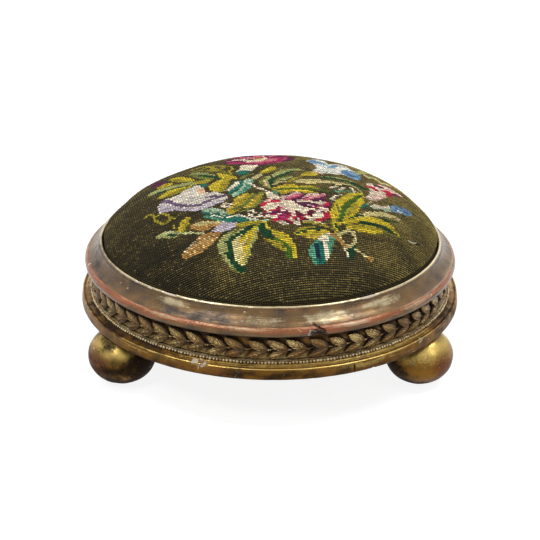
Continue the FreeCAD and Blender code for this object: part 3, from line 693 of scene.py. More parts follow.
def gilding(
    name,
    settings,
    gold,
    pale=None,
    clay=None,
    craze=1.0,
    dusty=0.3,
    lustre=0.3,
    rough=0.42,
    glaze=0.25,
    mottle=1.0,
):
    """Old leaf gold over red clay: rubbed, chipped and dirty, with painted light and shade, where the piece's
    wear_and_shading attribute says so.
    """
    nodes = new_material(name)
    place = nodes.place()
    # The attribute holds burnish with painted highlights, red clay, and dirt with painted shade, and in its
    # alpha the chips.
    bright, bole, dirt_and_shade = nodes.parts(nodes.stored("wear_and_shading"), "ShaderNodeSeparateColor")
    chips = nodes.stored("wear_and_shading", 3)
    x, y, z = nodes.parts(place)
    bearing = y.math("ARCTAN2", x) * MEAN_RADIUS
    radius = (x * x + y * y).math("SQRT")
    around = nodes.add("ShaderNodeCombineXYZ", {}, {0: bearing, 1: radius, 2: z})

    clouds = nodes.noise(place, 60.0)
    blots = nodes.noise(place, 240.0, 4.0, 0.6)
    grain = nodes.noise(place, 1300.0, 3.0, 0.65)
    streaks = nodes.noise(around, 700.0, 4.0, 0.65, stretch=(0.07, 1.0, 1.0))
    crackle = (1 - nodes.cracks(place, 170.0).step(0.0, 0.03)) * clouds.step(0.5, 0.64) * craze
    scratch = (1 - nodes.cracks(around, 75.0).step(0.0, 0.012)) * blots.step(0.56, 0.66)

    rubbed = ((blots - 0.5) * 0.8 + (streaks - 0.5) * 1.1 + (grain - 0.5) * 0.6) * mottle
    # high lays burnished gold and painted highlights, and dark lays grime over dirt and over painted shade.
    high = (bright + rubbed).step(0.4, 1.0)
    red = (bole + ((blots - 0.5) * 1.0 + (streaks - 0.5) * 1.2) * mottle).step(0.36, 0.8)
    dark = (dirt_and_shade + (streaks - 0.5) * 0.8 + (clouds - 0.5) * 0.6 + (blots - 0.5) * 0.4).step(0.3, 0.95)
    specks = (grain * 0.55 + blots * 0.45).step(0.58, 0.68)
    bloom = (dirt_and_shade + clouds * 0.5).step(0.35, 0.8) * blots.step(0.35, 0.65)
    bare = (chips + (grain - 0.5) * 0.9 + (blots - 0.5) * 0.6).step(0.5, 0.62) * chips.step(0.05, 0.3)

    clay = clay or settings.bole
    earth = nodes.coats(
        nodes.blend(streaks.step(0.3, 0.65), deeper(clay, 0.72), clay),
        ((streaks * 0.5 + grain * 0.5).step(0.55, 0.68) * mottle * 0.7, settings.gesso),
        (high * 0.5, pale or settings.sight),
    )
    colour = nodes.coats(
        nodes.blend(clouds.step(0.3, 0.7), gold, deeper(gold, 0.66)),
        (streaks.step(0.35, 0.7) * dusty * 0.5, settings.dust),
        (bloom * dusty, settings.dust),
        (high * 0.8, pale or settings.pale_gold),
        (red * 0.9, earth),
        (specks * 0.45, settings.grime_and_shade),
        (dark, settings.grime_and_shade),
        (crackle * 0.6, settings.grime_and_shade),
        (scratch * 0.55, settings.gesso),
        (bare, settings.gesso),
    )
    metal = ((1 - red * 0.8) * (1 - dark) * (1 - bare) * lustre).clamp()
    matt = rough - high * 0.12 + dark * 0.3 + bare * 0.4 + (grain - 0.5) * 0.2 + (streaks - 0.5) * 0.2
    height = blots * 0.35 + grain * 0.25 + streaks * 0.25 - crackle * 0.5 - bare * 0.6 - scratch * 0.3
    relief = nodes.bump(height, 0.4, 0.6)
    fixed = {"Specular IOR Level": glaze}
    return nodes.finish(fixed, Base_Color=colour, Metallic=metal, Roughness=matt.clamp(), Normal=relief)


def laurel_gilding(settings):
    """Leaf gold on carved leaves: rubbed ridges with painted highlights, fine veins that rake out, and dark
    grooves of painted shade.
    """
    nodes = new_material("gilt laurel")
    place = nodes.place()
    along, across, depth = nodes.parts(nodes.stored("leaf_place", 1))
    clouds = nodes.noise(place, 45.0)
    blots = nodes.noise(place, 330.0, 4.0, 0.6)
    grain = nodes.noise(place, 1500.0, 3.0, 0.65)
    side = across.math("ABSOLUTE")
    veins = ((along - side * 0.5) * 34.0 + (blots - 0.5) * 5.0).math("SINE") * 0.5 + 0.5
    veins = veins * side.step(0.05, 0.2) * (1 - side.step(0.8, 1.0))

    # depth is a leaf's painted light: ridges and tips are painted lighter, and grooves, sides, stalk ends and
    # lower leaves darker, as highlight and shade.
    high = depth * 1.15 + (along - 0.5) * 0.35 + veins * 0.34 + (blots - 0.5) * 0.7 + (grain - 0.5) * 0.7
    high = (high + (clouds - 0.5) * 1.0).step(0.98, 1.5)
    red = (depth * 0.4 + (clouds - 0.5) * 1.8 + (blots - 0.5) * 1.2 - 0.12).step(0.42, 0.66)
    dark = 1.12 - depth * 1.15 - (along - 0.5) * 0.3 + (1 - veins) * 0.16
    dark = (dark + (blots - 0.5) * 0.9 + (grain - 0.5) * 0.4 - (clouds - 0.5) * 0.8).step(0.25, 0.9)
    gold = settings.leaf_gold
    colour = nodes.coats(
        nodes.blend(clouds.step(0.35, 0.65), gold, deeper(gold, 0.68)),
        (high, settings.leaf_light),
        (red * 0.16, settings.bole),
        (dark, deeper(settings.grime_and_shade, 0.8)),
    )
    metal = ((1 - red * 0.6) * (1 - dark) * 0.68).clamp()
    rough = (0.3 - high * 0.04 + dark * 0.3 + (grain - 0.5) * 0.15).clamp()
    relief = nodes.bump(veins * 0.5 + blots * 0.3 + grain * 0.15, 0.6, 0.7)
    return nodes.finish({}, Base_Color=colour, Metallic=metal, Roughness=rough, Normal=relief)


def needlework_wool():
    """Wool stitches: colour from the canvas, a slanted strand in every square and dark gaps of painted shade
    between them.
    """
    nodes = new_material("needlework wool")
    wool, thick = nodes.stored("wool"), nodes.stored("wool", 3)
    column, row, _ = nodes.parts(nodes.add("ShaderNodeUVMap", {"uv_map": "canvas"}))
    u = column.math("FRACT") - 0.5
    v = row.math("FRACT") - 0.5
    fuzz = nodes.noise(nodes.place(), 2600.0, 3.0, 0.7)
    slant = v + u * 0.35 + (fuzz - 0.5) * 0.12
    strand = 1 - (slant * slant * 8.4 + u * u * (2.6 - thick))
    cover = strand.step(0.16, 0.74)
    ply = ((u * 14.0 - v * 22.0).math("SINE") * 0.5 + 0.5) * cover
    # tone paints the gaps between the stitches nearly black, as shade, and lightens the strands' middles, as
    # painted highlight.
    tone = cover * (1.66 - thick * 0.72 + fuzz * 0.7) + ply * 0.12 + 0.005 + thick * 0.15
    grey = nodes.add("ShaderNodeCombineColor", {}, {0: tone, 1: tone, 2: tone})
    lit = nodes.blend(1.0, wool, grey, "MULTIPLY")
    relief = nodes.bump(cover * 0.8 + ply * 0.15 + fuzz * 0.3, 0.5, 0.8)
    return nodes.finish({"Roughness": 0.92, "Specular IOR Level": 0.2}, Base_Color=lit, Normal=relief)


def canvas_thread(settings):
    """Bare cotton that has come out of the canvas."""
    nodes = new_material("canvas thread")
    fibres = nodes.noise(nodes.place(), 3000.0, 3.0, 0.6)
    return nodes.finish({"Roughness": 0.85}, Base_Color=nodes.blend(fibres, settings.thread, settings.canvas))


def calico():
    """Plain-woven undercloth with horsehair showing through."""
    nodes = new_material("calico over horsehair")
    place = nodes.place()
    x, y, _ = nodes.parts(place)
    weave = ((x * 5200.0).math("SINE") * (y * 5200.0).math("SINE")) * 0.5 + 0.5
    clouds = nodes.noise(place, 30.0)
    hair = nodes.noise(place, 700.0, 4.0, 0.7, stretch=(1.0, 6.0, 3.0)).step(0.62, 0.68)
    colour = nodes.coats(
        nodes.blend(clouds, (0.62, 0.55, 0.42), (0.72, 0.66, 0.54)),
        ((1 - weave) * 0.4, (0.42, 0.36, 0.26)),
        (hair * 0.6, (0.12, 0.09, 0.07)),
    )
    return nodes.finish({"Roughness": 0.9}, Base_Color=colour, Normal=nodes.bump(weave + clouds, 0.4, 0.4))


def bare_wood(name, light, dark):
    """Sawn beech or pine: rings, fine pores and dirt of age."""
    nodes = new_material(name)
    place = nodes.place()
    warped = nodes.noise(place, 22.0, stretch=(0.35, 2.2, 1.0))
    rings = nodes.add(
        "ShaderNodeTexWave",
        {"wave_type": "BANDS", "bands_direction": "Y"},
        {"Vector": place, "Scale": 34.0, "Distortion": 5.0, "Detail": 3.0, "Detail Scale": 1.2},
        1,
    )
    pores = nodes.noise(place, 900.0, 2.0, 0.6, stretch=(0.06, 1.0, 1.0)).step(0.55, 0.7)
    stain = nodes.noise(place, 14.0, 4.0).step(0.45, 0.75)
    colour = nodes.coats(
        nodes.blend(rings * 0.7 + warped * 0.3, light, dark),
        (pores * 0.5, deeper(dark, 0.5)),
        (stain * 0.4, deeper(dark, 0.55)),
    )
    relief = nodes.bump(rings * 0.3 - pores, 0.3, 0.4)
    return nodes.finish({}, Base_Color=colour, Roughness=0.62 + pores * 0.2, Normal=relief)


def old_metal(name, bright, rust):
    """Iron or steel that has dulled and rusted in places."""
    nodes = new_material(name)
    place = nodes.place()
    patches = nodes.noise(place, 420.0, 4.0, 0.65)
    fine = nodes.noise(place, 2600.0, 3.0, 0.6)
    rusty = (patches * 0.7 + fine * 0.3).step(0.45, 0.6)
    colour = nodes.coats(nodes.blend(fine, bright, deeper(bright, 0.7)), (rusty, rust))
    metal = (1 - rusty * 0.9).clamp()
    rough = (0.35 + rusty * 0.4 + fine * 0.1).clamp()
    relief = nodes.bump(patches + fine, 0.3, 0.3)
    return nodes.finish({}, Base_Color=colour, Metallic=metal, Roughness=rough, Normal=relief)


# Turned pieces
#
# A profile is its first point, a radius and a height in millimetres, and then a row for each run: the
# point where it ends, a bulge outwards in millimetres, its steps, and the tone at its two ends. A tone is
# how burnished and lit, how red, and how dirty and shaded the gold is there, from 0 to 1, so the tones
# paint light and shade as well as wear.

# DARK and DIM are painted shade in hollows, under overhangs and on hidden faces. BRIGHT is burnished gold,
# and a painted highlight where it runs along an edge or over the pearls.
DARK = (0.0, 0.2, 1.0)
DIM = (0.1, 0.25, 0.7)
GOLD = (0.45, 0.2, 0.2)
BRIGHT = (1.0, 0.05, 0.0)
RED = (0.35, 0.8, 0.1)
BROWN = (0.1, 0.35, 0.45)
GREY = (0.25, 0.1, 0.3)
WARM = (0.5, 0.75, 0.0)
LEDGE = (0.75, 0.1, 0.05)
AMBER = (0.28, 0.25, 0.42)
UMBER = (0.25, 0.3, 0.25)

# How wide the noise is in dents, red patches, dirt patches, and the edges of chips and of soft patches,
# in millimetres, and how white the bottom of a chip has to be to show no dirt.

DENTS, RED_PATCHES, DIRT_PATCHES, RAGGED_EDGE, SOFT_EDGE = 9.0, 26.0, 15.0, 1.6, 6.0
CLEAN_CHIP = 0.15

# A flaw is a bearing in degrees, a height, a half width, a half height, a depth and how white its bottom
# is, the sizes in millimetres, and how far it slants. A flaw without depth is a soft patch: where white is
# below 0 it is lighter, as burnished gold and as painted highlights on the cove and the nose, and above 0
# it is darker, as dirt and painted shade.

RIM_FLAWS = (
    (-76.3, 91.2, 7.2, 3.6, 1.8, 0.05, -0.1),
    (-75.7, 95.6, 5.8, 0.7, 1.6, 0, -0.5),
    (-78.9, 92.2, 1.4, 2.6, 0.7, 1, 0.8),
    (-77.6, 93.8, 3, 0.8, 0.6, 1, -0.5),
    (-76.9, 90.4, 2.6, 0.7, 2, 0.5, 0.4),
    (-75.2, 90.2, 2.6, 0.6, 2, 0.4, -0.4),
    (-81.6, 95, 1.6, 0.6, 0.5, 0.9, -0.6),
    (-122, 110.2, 8, 1, 0.4, 0.8, 0),
    (-130, 110, 3, 0.9, 0.4, 0.9, 0),
    (-136, 110.3, 2.4, 0.8, 0.4, 0.8, 0),
    (-112, 110.5, 1.6, 0.7, 0.3, 0.7, 0),
    (-58, 110, 9, 1.2, 0.4, 0.85, 0),
    (-96, 110.4, 1, 0.7, 0.3, 0.6, 0),
    (-97.5, 106.4, 1.4, 0.6, 0.3, 0.8, 0),
    (-92.6, 106.8, 1.2, 0.6, 0.3, 0.7, -0.4),
    (-86, 104, 4.6, 0.3, 0.2, 0.55, 0.9),
    (-143, 103, 1.4, 0.9, 0.3, 0.6, 0),
    (-139, 102.4, 1.2, 0.8, 0.3, 0.6, 0),
    (-165, 96, 2, 1.6, 0.5, 0.9, 0),
    # Soft patches with white below 0 on the cove are burnished gold with painted highlights, and those at
    # heights 90 to 95 are painted highlights on the nose.
    (-120, 105, 17, 3.8, 0, -0.7, 0),
    (-73, 101.8, 26, 4, 0, -0.6, 0),
    (-54, 103.4, 24, 4, 0, -0.55, 0),
    (-92, 100.4, 26, 3.2, 0, -0.42, 0),
    (-154, 102, 44, 8, 0, 0.3, 0),
    (-163, 110, 46, 2, 0, 0.35, 0),
    (-66, 95, 17, 1.5, 0, -0.6, 0),
    (-96, 95.4, 20, 1.3, 0, -0.4, 0),
    (-42, 95, 22, 1.5, 0, -0.5, 0),
    (-122, 95.4, 20, 1.3, 0, -0.45, 0),
    (-86, 90, 60, 1.2, 0, -0.35, 0),
    (36, 95, 24, 1.5, 0, -0.5, 0),
    (132, 95, 24, 1.5, 0, -0.5, 0),
    (-106, 103, 22, 6, 0, 0.22, 0),
    (-113, 99.4, 30, 2.6, 0, 0.5, 0),
    (-25, 102, 30, 6, 0, 0.15, 0),
    (-35, 95, 2, 1.5, 0.6, 0.7, 0),
    (20, 94, 3, 2, 0.8, 0.8, 0.3),
    (75, 91, 4, 3, 0.9, 0.5, 0),
    (60, 104, 26, 4.6, 0, -0.6, 0),
    (150, 103, 26, 4.6, 0, -0.5, 0),
    (118, 97, 2, 1.4, 0.6, 0.9, -0.3),
    (160, 93, 3, 2.2, 0.8, 0.6, 0),
)
BASE_FLAWS = (
    (-111.1, 60.8, 3, 1.1, 0.6, 0.95, 0),
    (-108.4, 59.4, 2.4, 1.6, 0.6, 0.9, 0.3),
    (-109.6, 57, 1.2, 2.4, 0.4, 0.7, 0),
    (-106.4, 57.4, 3.4, 2, 0.3, 0.4, 0.2),
    (-41.4, 59.2, 2.6, 1.4, 0.6, 1, 0.5),
    (-37.6, 56.4, 0.8, 0.8, 0.5, 1, 0),
    (-45, 52, 2, 1, 0.6, 0.9, 0),
    (-41.5, 51.8, 1.5, 0.9, 0.5, 0.9, 0),
    (-60, 51.6, 1.4, 0.8, 0.4, 0.8, 0),
    (10, 60.4, 2.5, 1, 0.6, 0.8, 0),
    (64, 52, 3, 1.4, 0.7, 0.7, 0),
    (100, 60.6, 2, 0.9, 0.5, 0.9, 0),
    (140, 56, 2.4, 2.4, 0.5, 0.5, 0.2),
    (-160, 52.2, 2, 1, 0.5, 0.8, 0),
    (-160, 58, 3.4, 3, 0.3, 0.45, 0),
    (-127, 56, 0.5, 3, 0.4, 0, 0),
    (-99, 56.5, 0.4, 2.6, 0.4, 0, 0),
    (-66, 55.5, 0.5, 3.2, 0.4, 0, 0),
    (-142, 62.2, 88, 2, 0, 0.95, 0),
    (-134, 56.4, 56, 4, 0, -0.12, 0),
    (-109, 59.4, 7, 3, 0.5, 0.45, 0.1),
    (-92, 55, 60, 4, 0, 0.3, 0),
    (-18, 59, 50, 6, 0, 0.4, 0),
    (-24, 62.2, 50, 2, 0, 0.45, 0),
    (-62, 57, 30, 3, 0, -0.3, 0),
    (120, 57, 40, 4, 0, 0.3, 0),
    (70, 57, 40, 4, 0, -0.3, 0),
)
FOOT_FLAWS = (
    (-150, 38, 1.4, 1, 0.4, 0.9, 0),
    (-80, 14, 1.2, 0.8, 0.3, 0.9, 0),
    (-135, 12, 1.6, 1, 0.4, 0.9, 0.2),
    (-30, 20, 1.6, 1.2, 0.4, 0.8, 0),
    (40, 30, 1.6, 1.6, 0.5, 0.8, 0),
    (120, 16, 2, 1.2, 0.5, 0.8, 0),
)


def run_points(profile):
    """Points and tones along a profile's runs."""
    start, points, tones = profile[0], [], []
    for *finish, bulge, steps, first, last in profile[1:]:
        run, rise = finish[0] - start[0], finish[1] - start[1]
        reach = math.hypot(run, rise)
        for step in range(steps):
            t = step / steps
            lift = 4 * t * (1 - t) * bulge / reach
            points.append((start[0] + t * run + lift * rise, start[1] + t * rise - lift * run))
            tones.append([a + (b - a) * t for a, b in zip(first, last)])
        start = finish
    return np.array([*points, start]), np.array([*tones, last])


def worn_by(flaws, x, y, height, radius, bearing, seed):
    """What the flaws do at a point: how far it sinks, how white it is, its burnish and painted highlight, its
    painted shade and its dirt.
    """
    sink = white = gleam = shaded = dirt_and_shade = 0.0
    for where, level, width, tall, depth, bottom, slant in flaws:
        away = (bearing - math.radians(where) + math.pi) % math.tau - math.pi
        above = height - level - slant * away * radius
        if abs(away) * radius > 2 * width or abs(above) > 2 * tall:
            continue
        far = math.hypot(away * radius / width, above / tall)
        if depth:
            hole = float(smooth(1.15, 0.75, far + 0.35 * ripple(x, y, height, RAGGED_EDGE, seed)))
            sink += depth * hole
            white = max(white, bottom * hole)
            dirt_and_shade += hole * (0.9 if bottom < CLEAN_CHIP else -0.3)
        else:
            hole = float(smooth(1.5, 0.1, far + 0.3 * ripple(x, y, height, SOFT_EDGE, seed)))
            gleam = max(gleam, -bottom * hole)
            shaded += max(bottom, 0.0) * hole
            dirt_and_shade += max(bottom, 0.0) * hole
    return sink, white, gleam, shaded, dirt_and_shade


def turned(
    name, profile, segments, flaws=(), closed=True, centre=(0.0, 0.0), inner=None, ripple_size=0.12, seed=0.0
):
    """Spins a profile about an upright axis, with its tones and flaws, painted light and shade among them,
    in the wear_and_shading attribute.

    inner is the bearing of the side towards the stool's middle, painted darker as dirt and as the base's
    shade, and the side away from it is redder.
    """
    points, tones = run_points(profile)
    if closed:
        points, tones = points[:-1], tones[:-1]
    count = len(points)
    near = np.arange(count)[:, None] + (-1, 1)
    near = near % count if closed else np.clip(near, 0, count - 1)
    along = points[near[:, 1]] - points[near[:, 0]]
    out = np.stack([along[:, 1], -along[:, 0]], axis=1)
    out /= np.maximum(np.hypot(*out.T), 1e-9)[:, None]

    vertices, wear_and_shading = [], []
    for segment in range(segments):
        bearing = math.tau * segment / segments
        cos, sin = math.cos(bearing), math.sin(bearing)
        for (radius, height), (push, rise), tone in zip(points, out, tones):
            x, y = radius * cos, radius * sin
            sink, white, gleam, shaded, shade_and_soil = worn_by(flaws, x, y, height, radius, bearing, seed + 3)
            lift = ripple_size * ripple(x, y, height, DENTS, seed) * min(1.0, radius / 10) - sink
            red = 0.45 * ripple(x, y, height * 3, RED_PATCHES, seed + 5)
            dirt_and_shade = 0.35 * ripple(x, y, height * 2, DIRT_PATCHES, seed + 9) + shade_and_soil
            # The side towards the stool's middle is painted darker, as dirt and as shade under the base.
            if inner is not None:
                facing = math.cos(bearing - inner)
                dirt_and_shade += 0.9 * float(smooth(-0.2, 0.85, facing))
                red += 0.6 * float(smooth(0.35, 1.0, -facing))
            spread = radius + lift * push
            across, back = centre[0] + spread * cos, centre[1] + spread * sin
            vertices.append((across * MM, back * MM, max(height + lift * rise, 0.0) * MM))
            wear_and_shading.append((tone[0] + gleam - shaded, tone[1] + red, tone[2] + dirt_and_shade, white))
    piece = new_piece(name, vertices, grid_quads(segments, count, True, closed))
    tint(piece.data, "wear_and_shading", wear_and_shading)
    face_outwards(piece.data, crease=40, weld=1e-6)
    return piece


class FOOTSTOOL_OT_frame(bpy.types.Operator):
    """Turn and gild the base, the drum behind the garland and the rim moulding"""

    bl_idname = "footstool.frame"
    bl_label = "Gilt frame"

    def execute(self, context):
        size = context.scene.footstool_frame
        low, top = size.base_bottom / MM, size.base_top / MM
        reach, drum = size.base_radius / MM, size.frieze_radius / MM
        bore, rim, inside = size.frieze_bore / MM, size.rim_bottom / MM, size.rim_bore / MM
        steps = size.segments
        # The base is painted dim on its underside and dark under the drum, as shade, with a painted highlight
        # along the top edge of its band.
        base = (
            (0.0, low),
            (reach - 8.0, low, 0.0, 10, DIM, DIM),
            (reach - 1.5, low, 0.0, 4, DIM, DIM),
            (reach, low + 1.4, 0.45, 5, DIM, BROWN),
            (reach - 0.9, top - 1.8, 0.05, 12, AMBER, GOLD),
            (reach - 1.2, top - 1.45, 0.1, 2, GOLD, BRIGHT),
            (reach - 2.2, top - 1.2, 0.25, 4, BRIGHT, BRIGHT),
            (reach - 4.4, top - 1.1, -0.35, 5, BROWN, GOLD),
            (reach - 7.6, top, -0.25, 6, LEDGE, LEDGE),
            (drum + 3.0, top, 0.0, 4, LEDGE, DIM),
            (drum + 0.2, top, 0.0, 3, DIM, DARK),
            (0.0, top, 0.0, 12, DARK, DARK),
        )
        finish = gilding(
            "gilt base",
            size,
            size.amber,
            size.amber_light,
            size.old_bole,
            craze=1.8,
            dusty=0.08,
            lustre=0.45,
            rough=0.36,
            glaze=0.1,
            mottle=1.1,
        )
        piece = turned("gilt_base", base, steps, BASE_FLAWS, closed=False, seed=1.0)
        declare(piece, finish, "gilt_base", "base_board")

        # The drum is painted dark under the rim and behind the leaves, as shade, and bright above the pearls,
        # as painted light.
        band = (
            (bore, top),
            (drum, top, 0.0, 4, DARK, DARK),
            (drum, top + 2.6, 0.0, 3, GOLD, BRIGHT),
            (drum, top + 7.4, 0.0, 4, BRIGHT, GOLD),
            (drum, top + 9.4, 0.0, 2, GOLD, DARK),
            (drum, top + 14.4, 0.0, 4, DARK, DARK),
            (drum, top + 17.0, 0.0, 2, DARK, GOLD),
            (drum, top + 20.0, 0.0, 3, GOLD, DIM),
            (drum, rim, 0.0, 4, DIM, DARK),
            (bore, rim, 0.0, 4, DARK, DARK),
            (bore, top, 0.0, 4, DARK, DARK),
        )
        finish = gilding("gilt frieze", size, size.gold, clay=size.old_bole, dusty=0.1)
        declare(turned("gilt_frieze", band, steps // 2, seed=2.0), finish, "gilt_frieze", "frieze_drum")

        # The moulding is painted dark under its nose and on its inner faces, as shade.
        moulding = (
            (inside, rim),
            (drum + 2.0, rim, 0.0, 6, DARK, DARK),
            (drum + 7.0, rim + 1.2, -0.3, 6, DARK, DARK),
            (drum + 9.4, rim + 4.4, 0.7, 8, DARK, UMBER),
            (drum + 8.9, rim + 7.6, 0.3, 6, UMBER, RED),
            (drum + 7.4, rim + 9.4, 0.3, 6, RED, WARM),
            (drum + 6.2, rim + 10.0, 0.3, 4, WARM, WARM),
            (inside + 2.9, rim + 20.9, -1.5, 22, GREY, GREY),
            (inside + 2.5, rim + 21.6, 0.0, 2, BROWN, DARK),
            (inside + 1.7, rim + 23.4, 0.3, 4, BROWN, BRIGHT),
            (inside, rim + 23.5, 0.3, 4, BRIGHT, BRIGHT),
            (inside - 0.8, rim + 22.4, 0.2, 3, BRIGHT, DIM),
            (inside - 1.1, rim + 21.0, 0.0, 2, DIM, DARK),
            (inside, rim + 16.0, 0.0, 3, DARK, DARK),
            (inside, rim, 0.0, 6, DARK, DARK),
        )
        finish = gilding(
            "gilt rim",
            size,
            size.rim_gold,
            size.sight,
            dusty=0.5,
            lustre=0.45,
            rough=0.24,
            glaze=0.45,
            mottle=0.8,
        )
        piece = turned("gilt_rim", moulding, steps, RIM_FLAWS, ripple_size=0.16, seed=3.0)
        declare(piece, finish, "gilt_rim", "rim_moulding")
        return {"FINISHED"}


class FOOTSTOOL_OT_feet(bpy.types.Operator):
    """Turn and gild the three bun feet"""

    bl_idname = "footstool.feet"
    bl_label = "Bun feet"

    def execute(self, context):
        size = context.scene.footstool_frame
        tall, wide = size.foot_height / MM, size.foot_radius / MM
        floor, seat = size.foot_floor / MM, size.foot_seat / MM
        low, high = math.sqrt(1 - (floor / wide) ** 2), math.sqrt(1 - (seat / wide) ** 2)
        half = tall / (low + high)
        finish = gilding(
            "gilt feet",
            size,
            size.foot_gold,
            size.foot_light,
            size.old_bole,
            craze=0.6,
            dusty=0.03,
            lustre=0.8,
            rough=0.4,
            glaze=0.1,
            mottle=0.5,
        )
        turns = np.linspace(-math.asin(low), math.asin(high), 45)
        ball = [(wide * math.cos(turn), half * (low + math.sin(turn))) for turn in turns]
        # darkened is how much darker each foot is painted.
        for name, node, seed, darkened in (
            ("gilt_foot_left", "foot_front_left", 11.0, 0.48),
            ("gilt_foot_right", "foot_front_right", 23.0, 0.0),
            ("gilt_foot_back", "foot_back", 37.0, 0.15),
        ):
            centre = [(a + b) / 2 / MM for a, b in zip(*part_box(node))][:2]
            # The flat underneath and the seat on top are painted dark, as shade.
            profile = [(0.0, 0.0), (*ball[0], 0.0, 3, DARK, DARK)]
            for there, turn in zip(ball[1:], turns):
                level = math.sin(turn)
                # Each foot is painted lighter on its upper part, as burnish and as painted light, and darker
                # on its underside, as painted shade.
                burnish_and_light = float(smooth(-0.2, 0.7, level)) * (1 - float(smooth(0.8, 1.0, level)))
                under = float(smooth(-0.3, -0.95, level))
                dirt_and_shade = 0.15 + darkened + 0.8 * under - 0.1 * burnish_and_light
                tone = (0.3 + 0.6 * burnish_and_light - 0.3 * under, 0.3 - 0.3 * burnish_and_light, dirt_and_shade)
                profile.append((*there, 0.0, 1, tone, tone))
            profile.append((0.0, tall, 0.0, 3, DARK, DARK))
            inner = math.atan2(-0.4 * centre[1], -centre[0])
            piece = turned(name, profile, 128, FOOT_FLAWS, False, centre, inner, 0.3, seed)
            declare(piece, finish, "gilt_feet", node)
        return {"FINISHED"}


# Garland and pearls


def scattered(name, make, inputs):
    """Runs a tree of geometry nodes on an empty mesh and returns its plain mesh.

    make builds the tree. inputs are the tree's named sizes: name, socket type and value.
    """
    group = bpy.data.node_groups.new(name, "GeometryNodeTree")
    names = {}
    for label, kind, value in inputs:
        names[label] = group.interface.new_socket(label, in_out="INPUT", socket_type=kind).identifier
    group.interface.new_socket("Geometry", in_out="OUTPUT", socket_type="NodeSocketGeometry")
    tree = Nodes(group)
    given = group.nodes.new("NodeGroupInput")
    sizes = {label: Wire(tree, given.outputs[label]) for label in names}
    tree.add("NodeGroupOutput", {}, {"Geometry": make(tree, sizes)})
    holder = new_object(name, bpy.data.meshes.new(name))
    modifier = holder.modifiers.new("rule", "NODES")
    modifier.node_group = group
    for label, _, value in inputs:
        modifier[names[label]] = value
    graph = bpy.context.evaluated_depsgraph_get()
    mesh = bpy.data.meshes.new_from_object(holder.evaluated_get(graph))
    bpy.data.objects.remove(holder)
    return new_object(name, mesh)


def around_drum(reach, bearing, height):
    """A point in metres, from a reach in millimetres, a bearing and a height in metres."""
    return (reach * math.cos(bearing) * MM, reach * math.sin(bearing) * MM, height)


def shape_in(collection, name, points, faces, places):
    """A shape to repeat: a closed mesh in its own collection, with its leaf_place numbers."""
    mesh = bpy.data.meshes.new(name)
    mesh.from_pydata(points, [], faces)
    mesh.polygons.foreach_set("use_smooth", [True] * len(mesh.polygons))
    layer = mesh.attributes.new("leaf_place", "FLOAT_VECTOR", "POINT")
    layer.data.foreach_set("vector", np.asarray(places, dtype=np.float32).ravel())
    face_outwards(mesh, crease=48)
    collection.objects.link(bpy.data.objects.new(name, mesh))


# Garland's shapes
#
# FRONT is the bearing at which one of each leaf is made. STALK is how far beyond the middle of its pair a
# leaf starts, as a share of a leaf's length. A station is a share of a leaf's length and of its width
# there, and a column a share of its half width and of its relief there. A leaf is how far it is stretched
# and how far its tip is lifted, and a bud's row how far along it is and how fat, in millimetres.

FRONT = -math.pi / 2
STALK = 0.44
STATIONS = (
    (0.0, 0.16),
    (0.1, 0.5),
    (0.25, 0.84),
    (0.42, 1.0),
    (0.6, 0.98),
    (0.77, 0.78),
    (0.9, 0.46),
    (1.0, 0.1),
)
COLUMNS = ((-1.0, 0.0), (-0.74, 0.68), (-0.38, 0.6), (0.0, 1.0), (0.38, 0.6), (0.74, 0.68), (1.0, 0.0))
UPPER_LEAVES = ((1.0, 1.6), (0.96, 2.0), (1.03, 1.3))
LOWER_LEAVES = ((1.04, 0.5), (1.08, 0.3), (1.0, 0.8))
BUD = ((-4.0, 0.8), (-1.5, 1.2), (0.4, 1.3), (2.0, 0.9), (3.2, 0.15))


